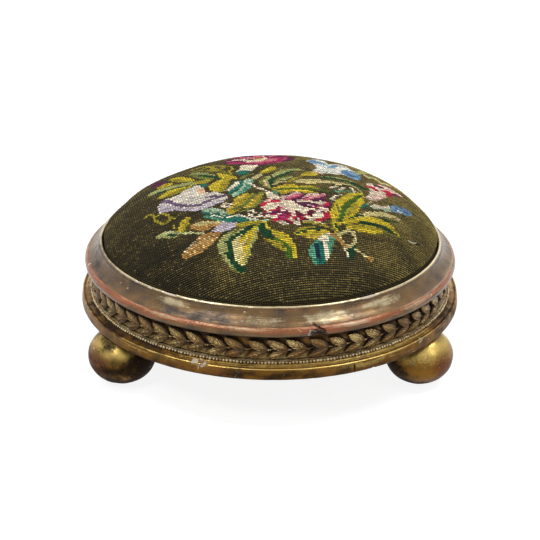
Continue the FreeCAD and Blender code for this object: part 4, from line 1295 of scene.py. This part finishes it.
def leaf_shape(size, radius, upward, stretch, lift, collection):
    """One carved leaf at the front, wrapped round the drum: a ridged face, sides and a back."""
    slant = size.leaf_angle if upward else size.lower_angle
    side = 1 if upward else -1
    long, half = size.leaf_length / MM * stretch, size.leaf_width / MM / 2 * (1.0 if upward else 0.88)
    stalk = size.leaf_length / MM * STALK
    relief = size.leaf_relief / MM
    stations = STATIONS
    if not upward:
        stations = tuple((t, width**1.5 if t > 0.5 else width) for t, width in STATIONS)
    points, places = [], []

    def put(t, s, height):
        run = stalk - long * t * math.cos(slant) + half * s * math.sin(slant)
        rise = side * (long * t * math.sin(slant) + half * s * math.cos(slant))
        points.append(around_drum(radius + height, FRONT + run / radius, size.middle + rise * MM))

    for t, width in stations:
        bow = math.sin(math.pi * min(1.0, 0.12 + t * 0.8)) ** 0.7
        for s, ridge in COLUMNS:
            height = relief * (0.42 * bow + 0.55 * ridge * (0.3 + 0.7 * width) * bow)
            height += lift * max(0.0, t - 0.4) ** 1.4 * 2.6 - 0.4 * (abs(s) == 1.0) + 0.5 * (1 - t)
            put(t, s * width, max(height, 0.3))
            # burnish_and_light makes ridges lighter and grooves darker, as burnish and as painted light and
            # shade; lower leaves are painted darker, as shade.
            burnish_and_light = min(1.0, (0.25 + 0.75 * ridge) * (0.55 + 0.45 * bow))
            places.append((t, s, burnish_and_light if upward else 0.92 * burnish_and_light))
    # The back points are painted as deep shade.
    for t, width in stations:
        for s in (-0.66, 0.66):
            put(t * 0.95, s * width, -0.4)
            places.append((t, s, 0.0))
    rows, wide = len(stations), len(COLUMNS)
    faces = []
    for row in range(rows - 1):
        a, b = row * wide, rows * wide + row * 2
        last = a + wide - 1
        faces += [(k, k + 1, k + wide + 1, k + wide) for k in range(a, last)]
        faces += [(a, a + wide, b + 2, b), (last, b + 1, b + 3, last + wide), (b, b + 2, b + 3, b + 1)]
    for row in (0, rows - 1):
        b = rows * wide + row * 2
        faces.append((*range(row * wide, (row + 1) * wide), b + 1, b))
    shape_in(collection, "leaf", points, faces, places)


def bud_shape(size, radius, collection):
    """The pointed bud on its stalk between two pairs of leaves."""
    points, places, sides = [], [], 6
    start = size.leaf_length / MM * STALK
    for t, (run, fat) in enumerate(BUD):
        for k in range(sides):
            turn = math.tau * k / sides
            reach = radius + 0.9 + 0.2 * t + fat * math.cos(turn) * 0.9
            height = size.middle + fat * math.sin(turn) * MM
            points.append(around_drum(reach, FRONT + (start + run) / radius, height))
            # The bud is painted lighter on its outer side and darker towards the drum, as light and shade.
            places.append((run / 8, 0.4, 0.55 + 0.35 * math.cos(turn)))
    faces = grid_quads(len(BUD), sides)
    faces += [tuple(range(sides)), tuple(range((len(BUD) - 1) * sides, len(BUD) * sides))]
    shape_in(collection, "bud", points, faces, places)


def add_stem(piece, size, radius):
    """Joins the garland's twisted stem to its leaves."""
    shell = bmesh.new()
    shell.from_mesh(piece.data)
    layer = shell.verts.layers.float_vector["leaf_place"]
    rings, sides, fat, corners = 720, 6, 0.8, []
    for k in range(rings):
        bearing = math.tau * k / rings
        sway = 0.35 * math.sin(bearing * size.pairs)
        swell = fat * (1 + 0.18 * math.cos(bearing * size.pairs * 3))
        for j in range(sides):
            turn = math.tau * j / sides
            height = size.middle / MM + sway + swell * math.sin(turn)
            corner = shell.verts.new(around_drum(radius + 0.5 + swell * math.cos(turn), bearing, height * MM))
            # The stem is painted lighter on its outer side and darker towards the drum, as light and shade.
            corner[layer] = (0.3, 0.5, 0.3 + 0.3 * math.cos(turn))
            corners.append(corner)
    for quad in grid_quads(rings, sides, round_rows=True):
        shell.faces.new([corners[k] for k in quad]).smooth = True
    shell.to_mesh(piece.data)
    shell.free()


class FOOTSTOOL_OT_garland(bpy.types.Operator):
    """Carve the laurel garland and gild it"""

    bl_idname = "footstool.garland"
    bl_label = "Laurel garland"

    def execute(self, context):
        size = context.scene.footstool_garland
        wood = context.scene.footstool_frame
        radius = wood.frieze_radius / MM
        groups = [bpy.data.collections.new(label) for label in ("upper", "lower", "buds")]
        for group, kinds in zip(groups, (UPPER_LEAVES, LOWER_LEAVES)):
            for stretch, lift in kinds:
                leaf_shape(size, radius, kinds is UPPER_LEAVES, stretch, lift, group)
        bud_shape(size, radius, groups[2])
        finish = laurel_gilding(wood)

        def rule(tree, sizes):
            pairs, layers = sizes["Pairs"], []
            for group in groups:
                line = {"Count": pairs, "Offset": (0, 0, 0)}
                dots = tree.add("GeometryNodeMeshLine", {"mode": "OFFSET"}, line)
                step = tree.add("GeometryNodeInputIndex")
                share = tree.add("ShaderNodeMath", {"operation": "DIVIDE"}, {0: math.tau, 1: pairs})
                jitter = tree.random("FLOAT", -0.006, 0.006, ID=step, Seed=3)
                bearing = step * share + sizes["Turn"] + math.pi / 2 + jitter
                kinds = tree.add(
                    "GeometryNodeCollectionInfo",
                    {"transform_space": "ORIGINAL"},
                    {"Collection": group, "Separate Children": True, "Reset Children": True},
                )
                spin = tree.add("ShaderNodeCombineXYZ", {}, {"Z": bearing})
                inputs = {"Points": dots, "Instance": kinds, "Rotation": spin}
                if len(group.objects) > 1:
                    which = tree.random("INT", 0, len(group.objects) - 1, ID=step, Seed=5)
                    inputs.update({"Pick Instance": True, "Instance Index": which})
                layers.append(tree.add("GeometryNodeInstanceOnPoints", {}, inputs))
            joined = tree.add("GeometryNodeJoinGeometry", {}, {"Geometry": layers[0]})
            for layer in layers[1:]:
                tree.tree.links.new(layer.socket, joined.socket.node.inputs["Geometry"])
            solid = tree.add("GeometryNodeRealizeInstances", {}, {"Geometry": joined})
            return tree.add("GeometryNodeSetMaterial", {}, {"Geometry": solid, "Material": finish})

        inputs = (("Pairs", "NodeSocketInt", size.pairs), ("Turn", "NodeSocketFloat", size.turn))
        piece = scattered("laurel_garland", rule, inputs)
        add_stem(piece, size, radius)
        declare(piece, finish, "gilt_ornament", *[f"laurel_strip_{k}" for k in range(1, 7)])
        for group in groups:
            bpy.data.collections.remove(group)
        return {"FINISHED"}


class FOOTSTOOL_OT_pearls(bpy.types.Operator):
    """String the small pearls round the foot of the frieze and gild them"""

    bl_idname = "footstool.pearls"
    bl_label = "Pearl string"

    def execute(self, context):
        size = context.scene.footstool_garland
        wood = context.scene.footstool_frame
        finish = gilding("gilt pearls", wood, wood.gold, wood.sight, craze=0.2, dusty=0.1)
        sway = 0.22 * MM

        def rule(tree, sizes):
            circle = {"Vertices": sizes["Pearls"], "Radius": sizes["Circle"]}
            ring = tree.add("GeometryNodeMeshCircle", {}, circle)
            raised = tree.add("ShaderNodeCombineXYZ", {}, {"Z": sizes["Height"]})
            ring = tree.add("GeometryNodeTransform", {}, {"Geometry": ring, "Translation": raised})
            ball = {"Segments": 9, "Rings": 6, "Radius": sizes["Radius"]}
            pearl = tree.add("GeometryNodeMeshUVSphere", {}, ball)
            pearl = tree.add("GeometryNodeSetShadeSmooth", {}, {"Geometry": pearl})
            shift = tree.random("FLOAT_VECTOR", [-sway] * 3, [sway] * 3, Seed=4)
            ring = tree.add("GeometryNodeSetPosition", {}, {"Geometry": ring, "Offset": shift})
            inputs = {"Points": ring, "Instance": pearl, "Scale": tree.random("FLOAT", 0.72, 1.08, Seed=11)}
            strung = tree.add("GeometryNodeInstanceOnPoints", {}, inputs)
            solid = tree.add("GeometryNodeRealizeInstances", {}, {"Geometry": strung})
            return tree.add("GeometryNodeSetMaterial", {}, {"Geometry": solid, "Material": finish})

        inputs = (
            ("Pearls", "NodeSocketInt", size.pearls),
            ("Circle", "NodeSocketFloat", size.pearl_circle),
            ("Height", "NodeSocketFloat", size.pearl_height),
            ("Radius", "NodeSocketFloat", size.pearl_radius),
        )
        piece = scattered("pearls", rule, inputs)
        middle, fat = size.pearl_circle / MM, size.pearl_radius / MM
        # Each pearl is painted lighter on top and outwards and darker underneath, as light and shade.
        wear_and_shading = []
        for vertex in piece.data.vertices:
            out = (math.hypot(vertex.co.x, vertex.co.y) / MM - middle) / fat
            up = (vertex.co.z / MM - size.pearl_height / MM) / fat
            wear_and_shading.append((0.62 + 0.3 * up + 0.15 * out, 0.15, 0.5 - 0.6 * max(out, up), 0.0))
        tint(piece.data, "wear_and_shading", wear_and_shading)
        declare(piece, finish, "gilt_ornament", "pearl_string")

        drum, base = wood.frieze_radius / MM, wood.base_top / MM
        # The fillet is painted dark at its foot, as shade, and bright at its top, as painted light.
        fillet = (
            (drum, base),
            (middle - 0.2, base, 0.0, 3, DARK, DARK),
            (middle - 0.2, base + 1.2, 0.0, 2, DARK, DIM),
            (drum, base + 2.6, 0.0, 3, GOLD, BRIGHT),
            (drum, base, 0.0, 2, DARK, DARK),
        )
        declare(turned("pearl_fillet", fillet, 360, seed=4.0), finish, "gilt_ornament")
        return {"FINISHED"}


# Cushion
#
# CROWN_POWER bends the crown's curve, and CROWN_PART is how much of it is used, so that it never ends
# upright. SQUARE is the corners of a square, round it. HALF_CANVAS is the stitches over which the ground
# fades, and SLIT is the left end of the slit, in stitches. The spreads say how much the knots of the
# canvas, in stitches, and each stitch's relief, tone and row vary about their means. The shares are those
# of darker stitches in the bouquet and of bare canvas in the ground. LINING_RADII are the rings of the
# cover's inner face, in millimetres.

CROWN_POWER, CROWN_PART = 0.61, 0.999
SQUARE = ((0, 0), (0, 1), (1, 1), (1, 0))
HALF_CANVAS = 88
SLIT = (52.6, -45.5)
KNOT_SPREAD, RELIEF_SPREAD, TONE_SPREAD, ROW_SPREAD = 0.05, 0.25, 0.17, 0.13
DARKER_SHARE, BARE_SHARE = 0.16, 0.05
LINING_RADII = (150.0, 138.0, 120.0, 96.0, 68.0, 36.0)


def crown_height(size, radius):
    """Height in millimetres of the stuffed crown at a distance from the middle."""
    share = np.minimum(np.asarray(radius) / (size.reach / MM), 1.0)
    curve = (1 - CROWN_PART * share**2) ** CROWN_POWER
    return size.crown_top / MM - size.crown_rise / MM * (1 - curve)


def crown_lean(size, radius):
    """How far the crown has shifted to the right at a distance from its middle, in millimetres."""
    return size.lean / MM * (1 - (radius / (size.reach / MM)) ** 2)


def settled_cover(size):
    """Blows up a coarse cover, held at its tacked edge, in a short cloth simulation over lumpy stuffing.

    The result is how far the cover settles off the smooth crown, in millimetres, by ring and bearing.
    """
    rings, around, frames, pressure = 30, 96, 20, 4.0
    side, slack = size.side / MM, size.slack / MM
    lumps, pull = size.lumps / MM, size.pull / MM
    lump_width, pull_width = 38.0, 60.0
    points = [(0.0, 0.0, crown_height(size, 0.0) - slack)]
    for ring in range(1, rings + 1):
        share = ring / rings
        start = crown_height(size, side * share) - slack * (1 - share**4)
        for k in range(around):
            bearing = math.tau * k / around
            x, y = side * share * math.cos(bearing), side * share * math.sin(bearing)
            tacked = 0.5 + 0.5 * math.cos(bearing * size.tacks) + 0.8 * ripple(x, y, 0.0, pull_width, 2.0)
            hollow = pull * tacked * smooth(0.8, 1.0, share)
            points.append((x, y, start + lumps * ripple(x, y, 0.0, lump_width, 8.0) - hollow))
    faces = [(0, 1 + k, 1 + (k + 1) % around) for k in range(around)]
    cover = new_piece("cover", np.array(points) * MM, faces + grid_quads(rings, around, first=1))
    cover.vertex_groups.new(name="edge").add(list(range(len(points) - around, len(points))), 1.0, "REPLACE")
    cloth = cover.modifiers.new("cloth", "CLOTH")
    fabric = cloth.settings
    fabric.vertex_group_mass = "edge"
    fabric.use_pressure, fabric.uniform_pressure_force = True, pressure
    fabric.effector_weights.gravity = 0.0
    cloth.point_cache.frame_start, cloth.point_cache.frame_end = 1, frames
    for frame_number in range(1, frames + 1):
        bpy.context.scene.frame_set(frame_number)
    settled = cover.evaluated_get(bpy.context.evaluated_depsgraph_get()).data
    heights = np.array([vertex.co.z / MM for vertex in settled.vertices])
    bpy.context.scene.frame_set(1)
    bpy.data.objects.remove(cover)
    field = np.vstack([np.full(around, heights[0]), heights[1:].reshape(rings, around)])
    field -= field.mean(axis=1, keepdims=True)
    return np.clip(field, -size.cap / MM, size.cap / MM)


def sampled(field, share, bearing):
    """Reads a field of rings and bearings between its points."""
    rings, around = field.shape[0] - 1, field.shape[1]
    ring = np.clip(share, 0.0, 1.0) * rings
    low = np.minimum(ring.astype(int), rings - 1)
    turn = (bearing / math.tau % 1.0) * around
    here = turn.astype(int) % around
    there = (here + 1) % around
    out, on = ring - low, turn - np.floor(turn)
    nearer = field[low, here] * (1 - on) + field[low, there] * on
    farther = field[low + 1, here] * (1 - on) + field[low + 1, there] * on
    return nearer * (1 - out) + farther * out


def crown_points(size, distance, bearing, field=None):
    """Points in millimetres on the crown, by how far the cloth runs from its middle, and its whole run."""
    side = size.side / MM
    radii = np.linspace(0.0, side, 1500)
    heights = crown_height(size, radii)
    runs = np.concatenate([[0.0], np.cumsum(np.hypot(np.diff(radii), np.diff(heights)))])
    radius = np.interp(distance, runs, radii)
    x, y = radius * np.cos(bearing), radius * np.sin(bearing)
    points = np.stack([x + crown_lean(size, radius), y, crown_height(size, radius)], axis=-1)
    if field is not None:
        slope = crown_height(size, radius) - crown_height(size, np.maximum(radius - 1.0, 0.0))
        normal = np.stack([-slope * np.cos(bearing), -slope * np.sin(bearing), np.ones_like(slope)], axis=-1)
        points += normal * (sampled(field, radius / side, bearing) / (1 + slope**2))[..., None]
    return points, runs[-1]


def bouquet_rows():
    """Rows of the bouquet: colour, shaded colour, width and corners, in stitches."""
    rows = []
    for word in BOUQUET.split():
        if word[0].isalpha():
            first, _, second = word.partition("/")
            rows.append([first, second, 0.0, []])
        elif "," in word:
            rows[-1][3].append([float(half) / 2 for half in word.split(",")])
        else:
            rows[-1][2] = float(word) / 2
    return rows


def inside(corners, x, y):
    """Which of the points x, y lie inside a closed outline."""
    hit = np.zeros(x.shape, bool)
    for (ax, ay), (bx, by) in zip(corners, np.roll(corners, -1, axis=0)):
        if ay != by:
            hit ^= ((ay > y) != (by > y)) & (x < (bx - ax) * (y - ay) / (by - ay) + ax)
    return hit


def beside(corners, x, y, reach):
    """Which of the points x, y lie within reach of a drawn line."""
    near = np.full(x.shape, 1e9)
    for (ax, ay), (bx, by) in zip(corners, corners[1:]):
        run, rise = bx - ax, by - ay
        t = np.clip(((x - ax) * run + (y - ay) * rise) / max(run * run + rise * rise, 1e-9), 0, 1)
        near = np.minimum(near, np.hypot(x - ax - t * run, y - ay - t * rise))
    return near <= reach


def stitched_colours(size, x, y, chance):
    """Linear colour of each stitch, ground first and then the bouquet in order, and which are its own."""
    dark, faded_and_lit = np.array(linear(size.ground)[:3]), np.array(linear(size.faded_and_lit)[:3])
    bearing = size.canvas_turn
    right = (x * math.cos(bearing) - y * math.sin(bearing)) / HALF_CANVAS
    back = (x * math.sin(bearing) + y * math.cos(bearing)) / HALF_CANVAS
    # share lightens the ground towards the right and the back: partly real fading, partly painted light.
    share = np.clip(0.1 + 0.6 * right + 0.4 * back, 0, 1) + 0.12 * chance.standard_normal(x.shape)
    patches = np.array([noise.noise(Vector((a / 14, b / 9, 3.1))) for a, b in zip(x.ravel(), y.ravel())])
    share = np.clip(share + 0.45 * patches.reshape(x.shape), 0, 1)[..., None]
    # shade_and_soil darkens the front left, as painted shade.
    shade_and_soil = 2.0 * np.clip(-right - 0.12, 0, 0.45) * np.clip(-0.02 - back, 0, 0.8)
    colours = (dark * (1 - share) + faded_and_lit * share) * (1 - shade_and_soil)[..., None]
    threads = {name: np.array(linear([c / 255 for c in rgb])[:3]) for name, rgb in THREADS.items()}
    jitter = chance.standard_normal(x.shape) * 0.16
    painted = np.zeros(x.shape, bool)
    for first, second, width, corners in bouquet_rows():
        corners = np.array(corners)
        if width:
            mask = beside(corners, x, y, width / 2 + 0.1)
        else:
            mask = inside(corners, x, y) | beside(np.vstack([corners, corners[:1]]), x, y, 0.35)
        colours[mask] = threads[first]
        painted |= mask
        if second:
            colours[mask & (far_side(corners, x, y) + jitter < -0.05)] = threads[second]
    return colours, painted


def worn_colours(size, x, y, chance):
    """Linear colour of each stitch with the wool's own variation, and which stitches are the bouquet's."""
    colours, painted = stitched_colours(size, x, y, chance)
    tone = 1 + TONE_SPREAD * chance.standard_normal(x.shape)
    rows = 1 + ROW_SPREAD * chance.standard_normal(x.shape[0])
    colours = colours * np.clip(tone * rows[:, None], 0.55, 1.5)[..., None]
    colours[painted & (chance.random(x.shape) < DARKER_SHARE)] *= 0.62
    bare = (chance.random(x.shape) < BARE_SHARE) & ~painted
    colours[bare] = colours[bare] * 0.6 + np.array(linear(size.canvas)[:3]) * 0.3
    return colours, painted


def far_side(corners, x, y):
    """How far back the points x, y lie across an outline's long axis, as a share of its half width."""
    middle = corners.mean(axis=0)
    right, back = (corners - middle).T
    turn = 0.5 * math.atan2(2 * (right * back).sum(), (right**2 - back**2).sum())
    across = np.array([-math.sin(turn), math.cos(turn)])
    if across[1] < 0:
        across = -across
    wide = np.abs((corners - middle) @ across).max()
    return ((x - middle[0]) * across[0] + (y - middle[1]) * across[1]) / wide


def bearing_of(point):
    return math.atan2(point[1], point[0])


def border_loop(quads, points):
    """Numbers of the points round the open edge of some quads, in order."""
    edges = {(a, b) for quad in quads for a, b in zip(quad, np.roll(quad, -1))}
    follows = {a: b for a, b in edges if (b, a) not in edges}
    loop = [min(follows, key=lambda n: bearing_of(points[n]))]
    while follows[loop[-1]] != loop[0]:
        loop.append(follows[loop[-1]])
    return loop


def turned_under(size, border, bearings, first):
    """Points and faces of the side, the hem and the lining, from the border's points to a pole."""
    side, seat, cloth, hem = size.side / MM, size.seat / MM, size.cloth / MM, size.hem / MM
    edge = crown_height(size, side)
    rings = [
        (side, 0.0, edge - 5.0),
        (side, 0.0, seat + 8.0),
        (side, 0.0, seat),
        (hem, 0.0, seat),
        (hem, 0.0, seat + cloth),
        (side - cloth, 0.0, seat + cloth),
        (side - cloth, 0.0, edge - 3.5),
    ]
    lining = 1.3 * cloth
    for radius in LINING_RADII:
        rings.append((radius, crown_lean(size, radius), crown_height(size, radius + 1.0) - lining))
    extra, faces, outer = [], [], list(border)
    for radius, lean, height in rings:
        inner = [first + len(extra) + k for k in range(len(bearings))]
        extra += [(radius * math.cos(turn) + lean, radius * math.sin(turn), height) for turn in bearings]
        faces += zip(outer, outer[1:] + outer[:1], inner[1:] + inner[:1], inner)
        outer = inner
    extra.append((size.lean / MM, 0.0, crown_height(size, 0.0) - lining))
    pole = first + len(extra) - 1
    return extra, faces + [(a, b, pole) for a, b in zip(outer, outer[1:] + outer[:1])]


class FOOTSTOOL_OT_cushion(bpy.types.Operator):
    """Stitch the needlework cover over the crown, with one raised square for each stitch"""

    bl_idname = "footstool.cushion"
    bl_label = "Needlework cushion"

    def execute(self, context):
        size = context.scene.footstool_cushion
        chance = np.random.default_rng(size.seed)
        pitch, side = size.stitch / MM, size.side / MM
        field = settled_cover(size)
        _, whole = crown_points(size, 0.0, 0.0)
        half = int(whole / pitch) + 2
        count = 2 * half + 1
        line = (np.arange(count) - half) * pitch
        knot_x, knot_y = np.meshgrid(line, line, indexing="xy")
        middle_x, middle_y = knot_x[:-1, :-1] + pitch / 2, knot_y[:-1, :-1] + pitch / 2
        used = np.hypot(middle_x, middle_y) < whole - 0.35 * pitch
        need = np.zeros((count, count), bool)
        for a, b in SQUARE:
            need[a : count - 1 + a, b : count - 1 + b] |= used
        knots, stitches = need.sum(), used.sum()

        def placed(x, y):
            distance = np.hypot(x, y)
            bearing = np.arctan2(y, x) + size.canvas_turn
            return crown_points(size, np.minimum(distance, whole), bearing, field)[0]

        shake = KNOT_SPREAD * pitch
        shaken_x = knot_x[need] + chance.standard_normal(knots) * shake
        shaken_y = knot_y[need] + chance.standard_normal(knots) * shake
        x, y = middle_x[used], middle_y[used]
        normal = np.cross(placed(x + 0.5, y) - placed(x - 0.5, y), placed(x, y + 0.5) - placed(x, y - 0.5))
        normal /= np.linalg.norm(normal, axis=1)[:, None]
        relief = size.relief / MM * (1 + RELIEF_SPREAD * chance.standard_normal(stitches))
        tops = placed(x, y) + normal * np.maximum(relief, 0.05)[:, None]
        points = np.vstack([placed(shaken_x, shaken_y), tops])
        colours, painted = worn_colours(size, middle_x / pitch, middle_y / pitch, chance)

        numbers = np.zeros((count, count), int)
        numbers[need] = np.arange(knots)
        row, column = np.nonzero(used)
        ring = [numbers[row + a, column + b] for a, b in SQUARE]
        peaks = knots + np.arange(stitches)
        sides = zip(ring, ring[1:] + ring[:1])
        triangles = np.vstack([np.stack([here, there, peaks], axis=1) for here, there in sides])
        border = border_loop(np.stack(ring, axis=1), points)
        bearings = [bearing_of(points[n]) for n in border]
        for n, turn in zip(border, bearings):
            points[n] = (side * math.cos(turn), side * math.sin(turn), crown_height(size, side))
        extra, faces = turned_under(size, border, bearings, len(points))
        points = np.vstack([points, extra])
        piece = new_piece("needlework_cushion", points * MM, [*triangles.tolist(), *faces])

        mesh, sewn = piece.data, triangles.size
        wool = np.zeros((len(mesh.loops), 4))
        wool[:, :3] = linear(size.ground)[:3]
        wool[:sewn, :3] = np.repeat(np.tile(colours[used], (4, 1)), 3, axis=0)
        wool[:sewn, 3] = np.repeat(np.tile(painted[used], 4), 3)
        tint(mesh, "wool", wool, "CORNER")
        grid = np.vstack([np.stack([knot_x[need], knot_y[need]], axis=1), np.stack([x, y], axis=1)]) / pitch
        spots = np.zeros((len(mesh.loops), 2), dtype=np.float32)
        spots[:sewn] = grid[triangles.ravel()]
        for k in range(sewn, len(spots)):
            point = points[mesh.loops[k].vertex_index]
            run = point[2] + math.hypot(point[0], point[1])
            spots[k] = (bearing_of(point) * side / pitch, run / pitch)
        mesh.uv_layers.new(name="canvas").data.foreach_set("uv", spots.ravel())
        face_outwards(mesh)
        declare(piece, needlework_wool(), "needlepoint", "needlepoint_cover")
        declare(loose_thread(placed, pitch), canvas_thread(size), "needlepoint")
        return {"FINISHED"}


def loose_thread(placed, pitch):
    """A strand of bare canvas thread that lies in the slit on the right."""
    steps, sides, points = 14, 6, []
    t = np.linspace(0.0, 1.0, steps)
    run = placed((SLIT[0] + 4.9 * t) * pitch, (SLIT[1] + 0.9 * t - 0.8 * np.sin(math.pi * t)) * pitch)
    for k, middle in enumerate(run):
        along = Vector(run[min(k + 1, steps - 1)] - run[max(k - 1, 0)]).normalized()
        up = Vector((middle[0], middle[1], 90.0)).normalized()
        across = along.cross(up).normalized()
        fat = 0.75 * math.sin(math.pi * (0.12 + 0.76 * t[k])) ** 0.6
        for j in range(sides):
            turn = math.tau * j / sides
            offset = up * (0.5 + fat * math.sin(turn)) + across * fat * math.cos(turn)
            points.append((Vector(middle) + offset) * MM)
    faces = grid_quads(steps, sides)
    faces += [tuple(range(sides)), tuple(range((steps - 1) * sides, steps * sides))]
    piece = new_piece("loose_thread", points, faces)
    face_outwards(piece.data)
    return piece


class FOOTSTOOL_OT_stuffing(bpy.types.Operator):
    """Fill the cushion: horsehair under a calico cloth"""

    bl_idname = "footstool.stuffing"
    bl_label = "Stuffing"

    def execute(self, context):
        size = context.scene.footstool_cushion
        cloth, board, gap = size.cloth / MM, size.board_top / MM, 0.6
        side = size.side / MM - cloth - gap
        edge = crown_height(size, side + cloth) - 4.2
        profile = [
            (0.0, board),
            (side - 1.5, board, 0.0, 8, DARK, DARK),
            (side, board + 2.0, 0.5, 3, DARK, DARK),
            (side, edge, 0.3, 4, DARK, DARK),
        ]
        for radius in [*[side * math.sin(math.pi / 2 * k / 16) for k in range(15, 0, -1)], 0.0]:
            profile.append((radius, crown_height(size, radius + 2.2) - 2.2 * cloth, 0.0, 1, DARK, DARK))
        piece = turned("horsehair_stuffing_pad", profile, 96, closed=False, ripple_size=0.3, seed=6.0)
        for vertex in piece.data.vertices:
            if vertex.co.z > size.board_top + 3.0 * MM:
                radius = math.hypot(vertex.co.x, vertex.co.y)
                vertex.co.x += size.lean * (1 - (radius / size.reach) ** 2)
        declare(piece, calico(), "horsehair", "horsehair_stuffing")
        return {"FINISHED"}


class FOOTSTOOL_OT_fixings(bpy.types.Operator):
    """Give the seat board, its blocks, screws and tacks their wood and metal"""

    bl_idname = "footstool.fixings"
    bl_label = "Board and fixings"

    def execute(self, context):
        for node, finish in (
            ("seat_board", bare_wood("beech board", (0.66, 0.52, 0.36), (0.45, 0.31, 0.19))),
            ("pad_fixing_blocks", bare_wood("pine blocks", (0.70, 0.55, 0.36), (0.50, 0.34, 0.18))),
            ("pad_fixing_screws", old_metal("screw steel", (0.46, 0.45, 0.43), (0.28, 0.15, 0.08))),
            ("cover_tacks", old_metal("blued tacks", (0.20, 0.22, 0.26), (0.24, 0.13, 0.08))),
        ):
            for slot in frame["nodes"][node].material_slots:
                slot.material = finish
        return {"FINISHED"}


# Stage
#
# LAMP_AIM is the point in metres that every lamp faces. FLOOR_GLOW makes the floor look white to the
# camera without lighting the stool from below.

WHITE = (1, 1, 1, 1)
FLOOR_GREY = (0.32, 0.32, 0.32, 1.0)
FLOOR_GLOW = 0.88
LAMP_AIM = (0, 0, 0.09)


class FOOTSTOOL_OT_stage(bpy.types.Operator):
    """Lay the floor, hang the lamps and set up the camera"""

    bl_idname = "footstool.stage"
    bl_label = "Floor, lamps and camera"

    def execute(self, context):
        size = context.scene.footstool_studio
        half = size.floor_size / 2
        corners = [(half * (2 * a - 1), half * (2 * b - 1), 0) for b, a in SQUARE]
        floor = new_piece("floor", corners, [(0, 1, 2, 3)])
        nodes = new_material("pale floor")
        matt = nodes.add("ShaderNodeBsdfDiffuse", {}, {"Color": FLOOR_GREY})
        strength = nodes.looked_at() * FLOOR_GLOW
        glow = nodes.add("ShaderNodeEmission", {}, {"Color": WHITE, "Strength": strength})
        both = nodes.add("ShaderNodeAddShader", {}, {0: matt, 1: glow})
        nodes.add("ShaderNodeOutputMaterial", {}, {"Surface": both})
        floor.data.materials.append(nodes.material)

        world = bpy.data.worlds.new("studio")
        context.scene.world = world
        world.use_nodes = True
        world.node_tree.nodes.clear()
        sky = Nodes(world.node_tree)
        strength = sky.looked_at() * (1 - size.sky) + size.sky
        back = sky.add("ShaderNodeBackground", {}, {"Color": WHITE, "Strength": strength})
        sky.add("ShaderNodeOutputWorld", {}, {"Surface": back})

        for name, place, width, watts in (
            ("key lamp", (-0.8, -1.0, 1.4), 0.45, size.key),
            ("fill lamp", (1.2, -0.9, 1.1), 0.5, size.fill),
            ("top left lamp", (-0.62, -0.2, 1.45), 0.5, size.top),
            ("top right lamp", (0.68, -0.18, 1.4), 0.5, size.top),
            ("back lamp", (0.7, 1.3, 1.0), 0.8, size.rim),
        ):
            lamp = bpy.data.lights.new(name, "AREA")
            lamp.energy, lamp.size = watts, width
            item = new_object(name, lamp)
            item.location = place
            item.rotation_euler = (Vector(LAMP_AIM) - Vector(place)).to_track_quat("-Z", "Y").to_euler()

        view = bpy.data.cameras.new("camera")
        view.lens, view.sensor_width = size.lens, 36.0
        view.clip_start, view.clip_end = 0.05, 30.0
        camera = new_object("camera", view)
        level, reach = size.elevation, size.distance
        camera.location = (0.0, -reach * math.cos(level), size.aim + reach * math.sin(level))
        turn = Matrix.Rotation(math.pi / 2 - level - size.dip, 3, "X") @ Matrix.Rotation(size.roll, 3, "Z")
        camera.rotation_euler = turn.to_euler()
        context.scene.camera = camera
        context.scene.view_settings.view_transform = "Standard"
        return {"FINISHED"}


# Panel and run


class FOOTSTOOL_PT_panel(bpy.types.Panel):
    """Pieces of the footstool and their sizes"""

    bl_idname = "FOOTSTOOL_PT_panel"
    bl_label = "Needlework footstool"
    bl_space_type = "VIEW_3D"
    bl_region_type = "UI"
    bl_category = "Footstool"

    def draw(self, context):
        for title, settings, operators in (
            ("Woodwork", "footstool_frame", ("frame", "feet")),
            ("Garland", "footstool_garland", ("garland", "pearls")),
            ("Cushion", "footstool_cushion", ("cushion", "stuffing", "fixings")),
            ("Studio", "footstool_studio", ("stage",)),
        ):
            box = self.layout.box()
            box.label(text=title)
            owner = getattr(context.scene, settings)
            for key in owner.__annotations__:
                box.prop(owner, key)
            for name in operators:
                box.operator(f"footstool.{name}")


SETTINGS = {
    "footstool_frame": FrameSettings,
    "footstool_garland": GarlandSettings,
    "footstool_cushion": CushionSettings,
    "footstool_studio": StudioSettings,
}
CLASSES = (
    *SETTINGS.values(),
    FOOTSTOOL_OT_frame,
    FOOTSTOOL_OT_feet,
    FOOTSTOOL_OT_garland,
    FOOTSTOOL_OT_pearls,
    FOOTSTOOL_OT_cushion,
    FOOTSTOOL_OT_stuffing,
    FOOTSTOOL_OT_fixings,
    FOOTSTOOL_OT_stage,
    FOOTSTOOL_PT_panel,
)


def register():
    for item in CLASSES:
        bpy.utils.register_class(item)
    for name, group in SETTINGS.items():
        setattr(bpy.types.Scene, name, PointerProperty(type=group))


def unregister():
    for name in SETTINGS:
        delattr(bpy.types.Scene, name)
    for item in reversed(CLASSES):
        bpy.utils.unregister_class(item)


def main():
    register()
    bpy.ops.footstool.stage()
    bpy.ops.footstool.frame()
    bpy.ops.footstool.feet()
    bpy.ops.footstool.garland()
    bpy.ops.footstool.pearls()
    bpy.ops.footstool.stuffing()
    bpy.ops.footstool.cushion()
    bpy.ops.footstool.fixings()


if __name__ == "__main__":
    main()
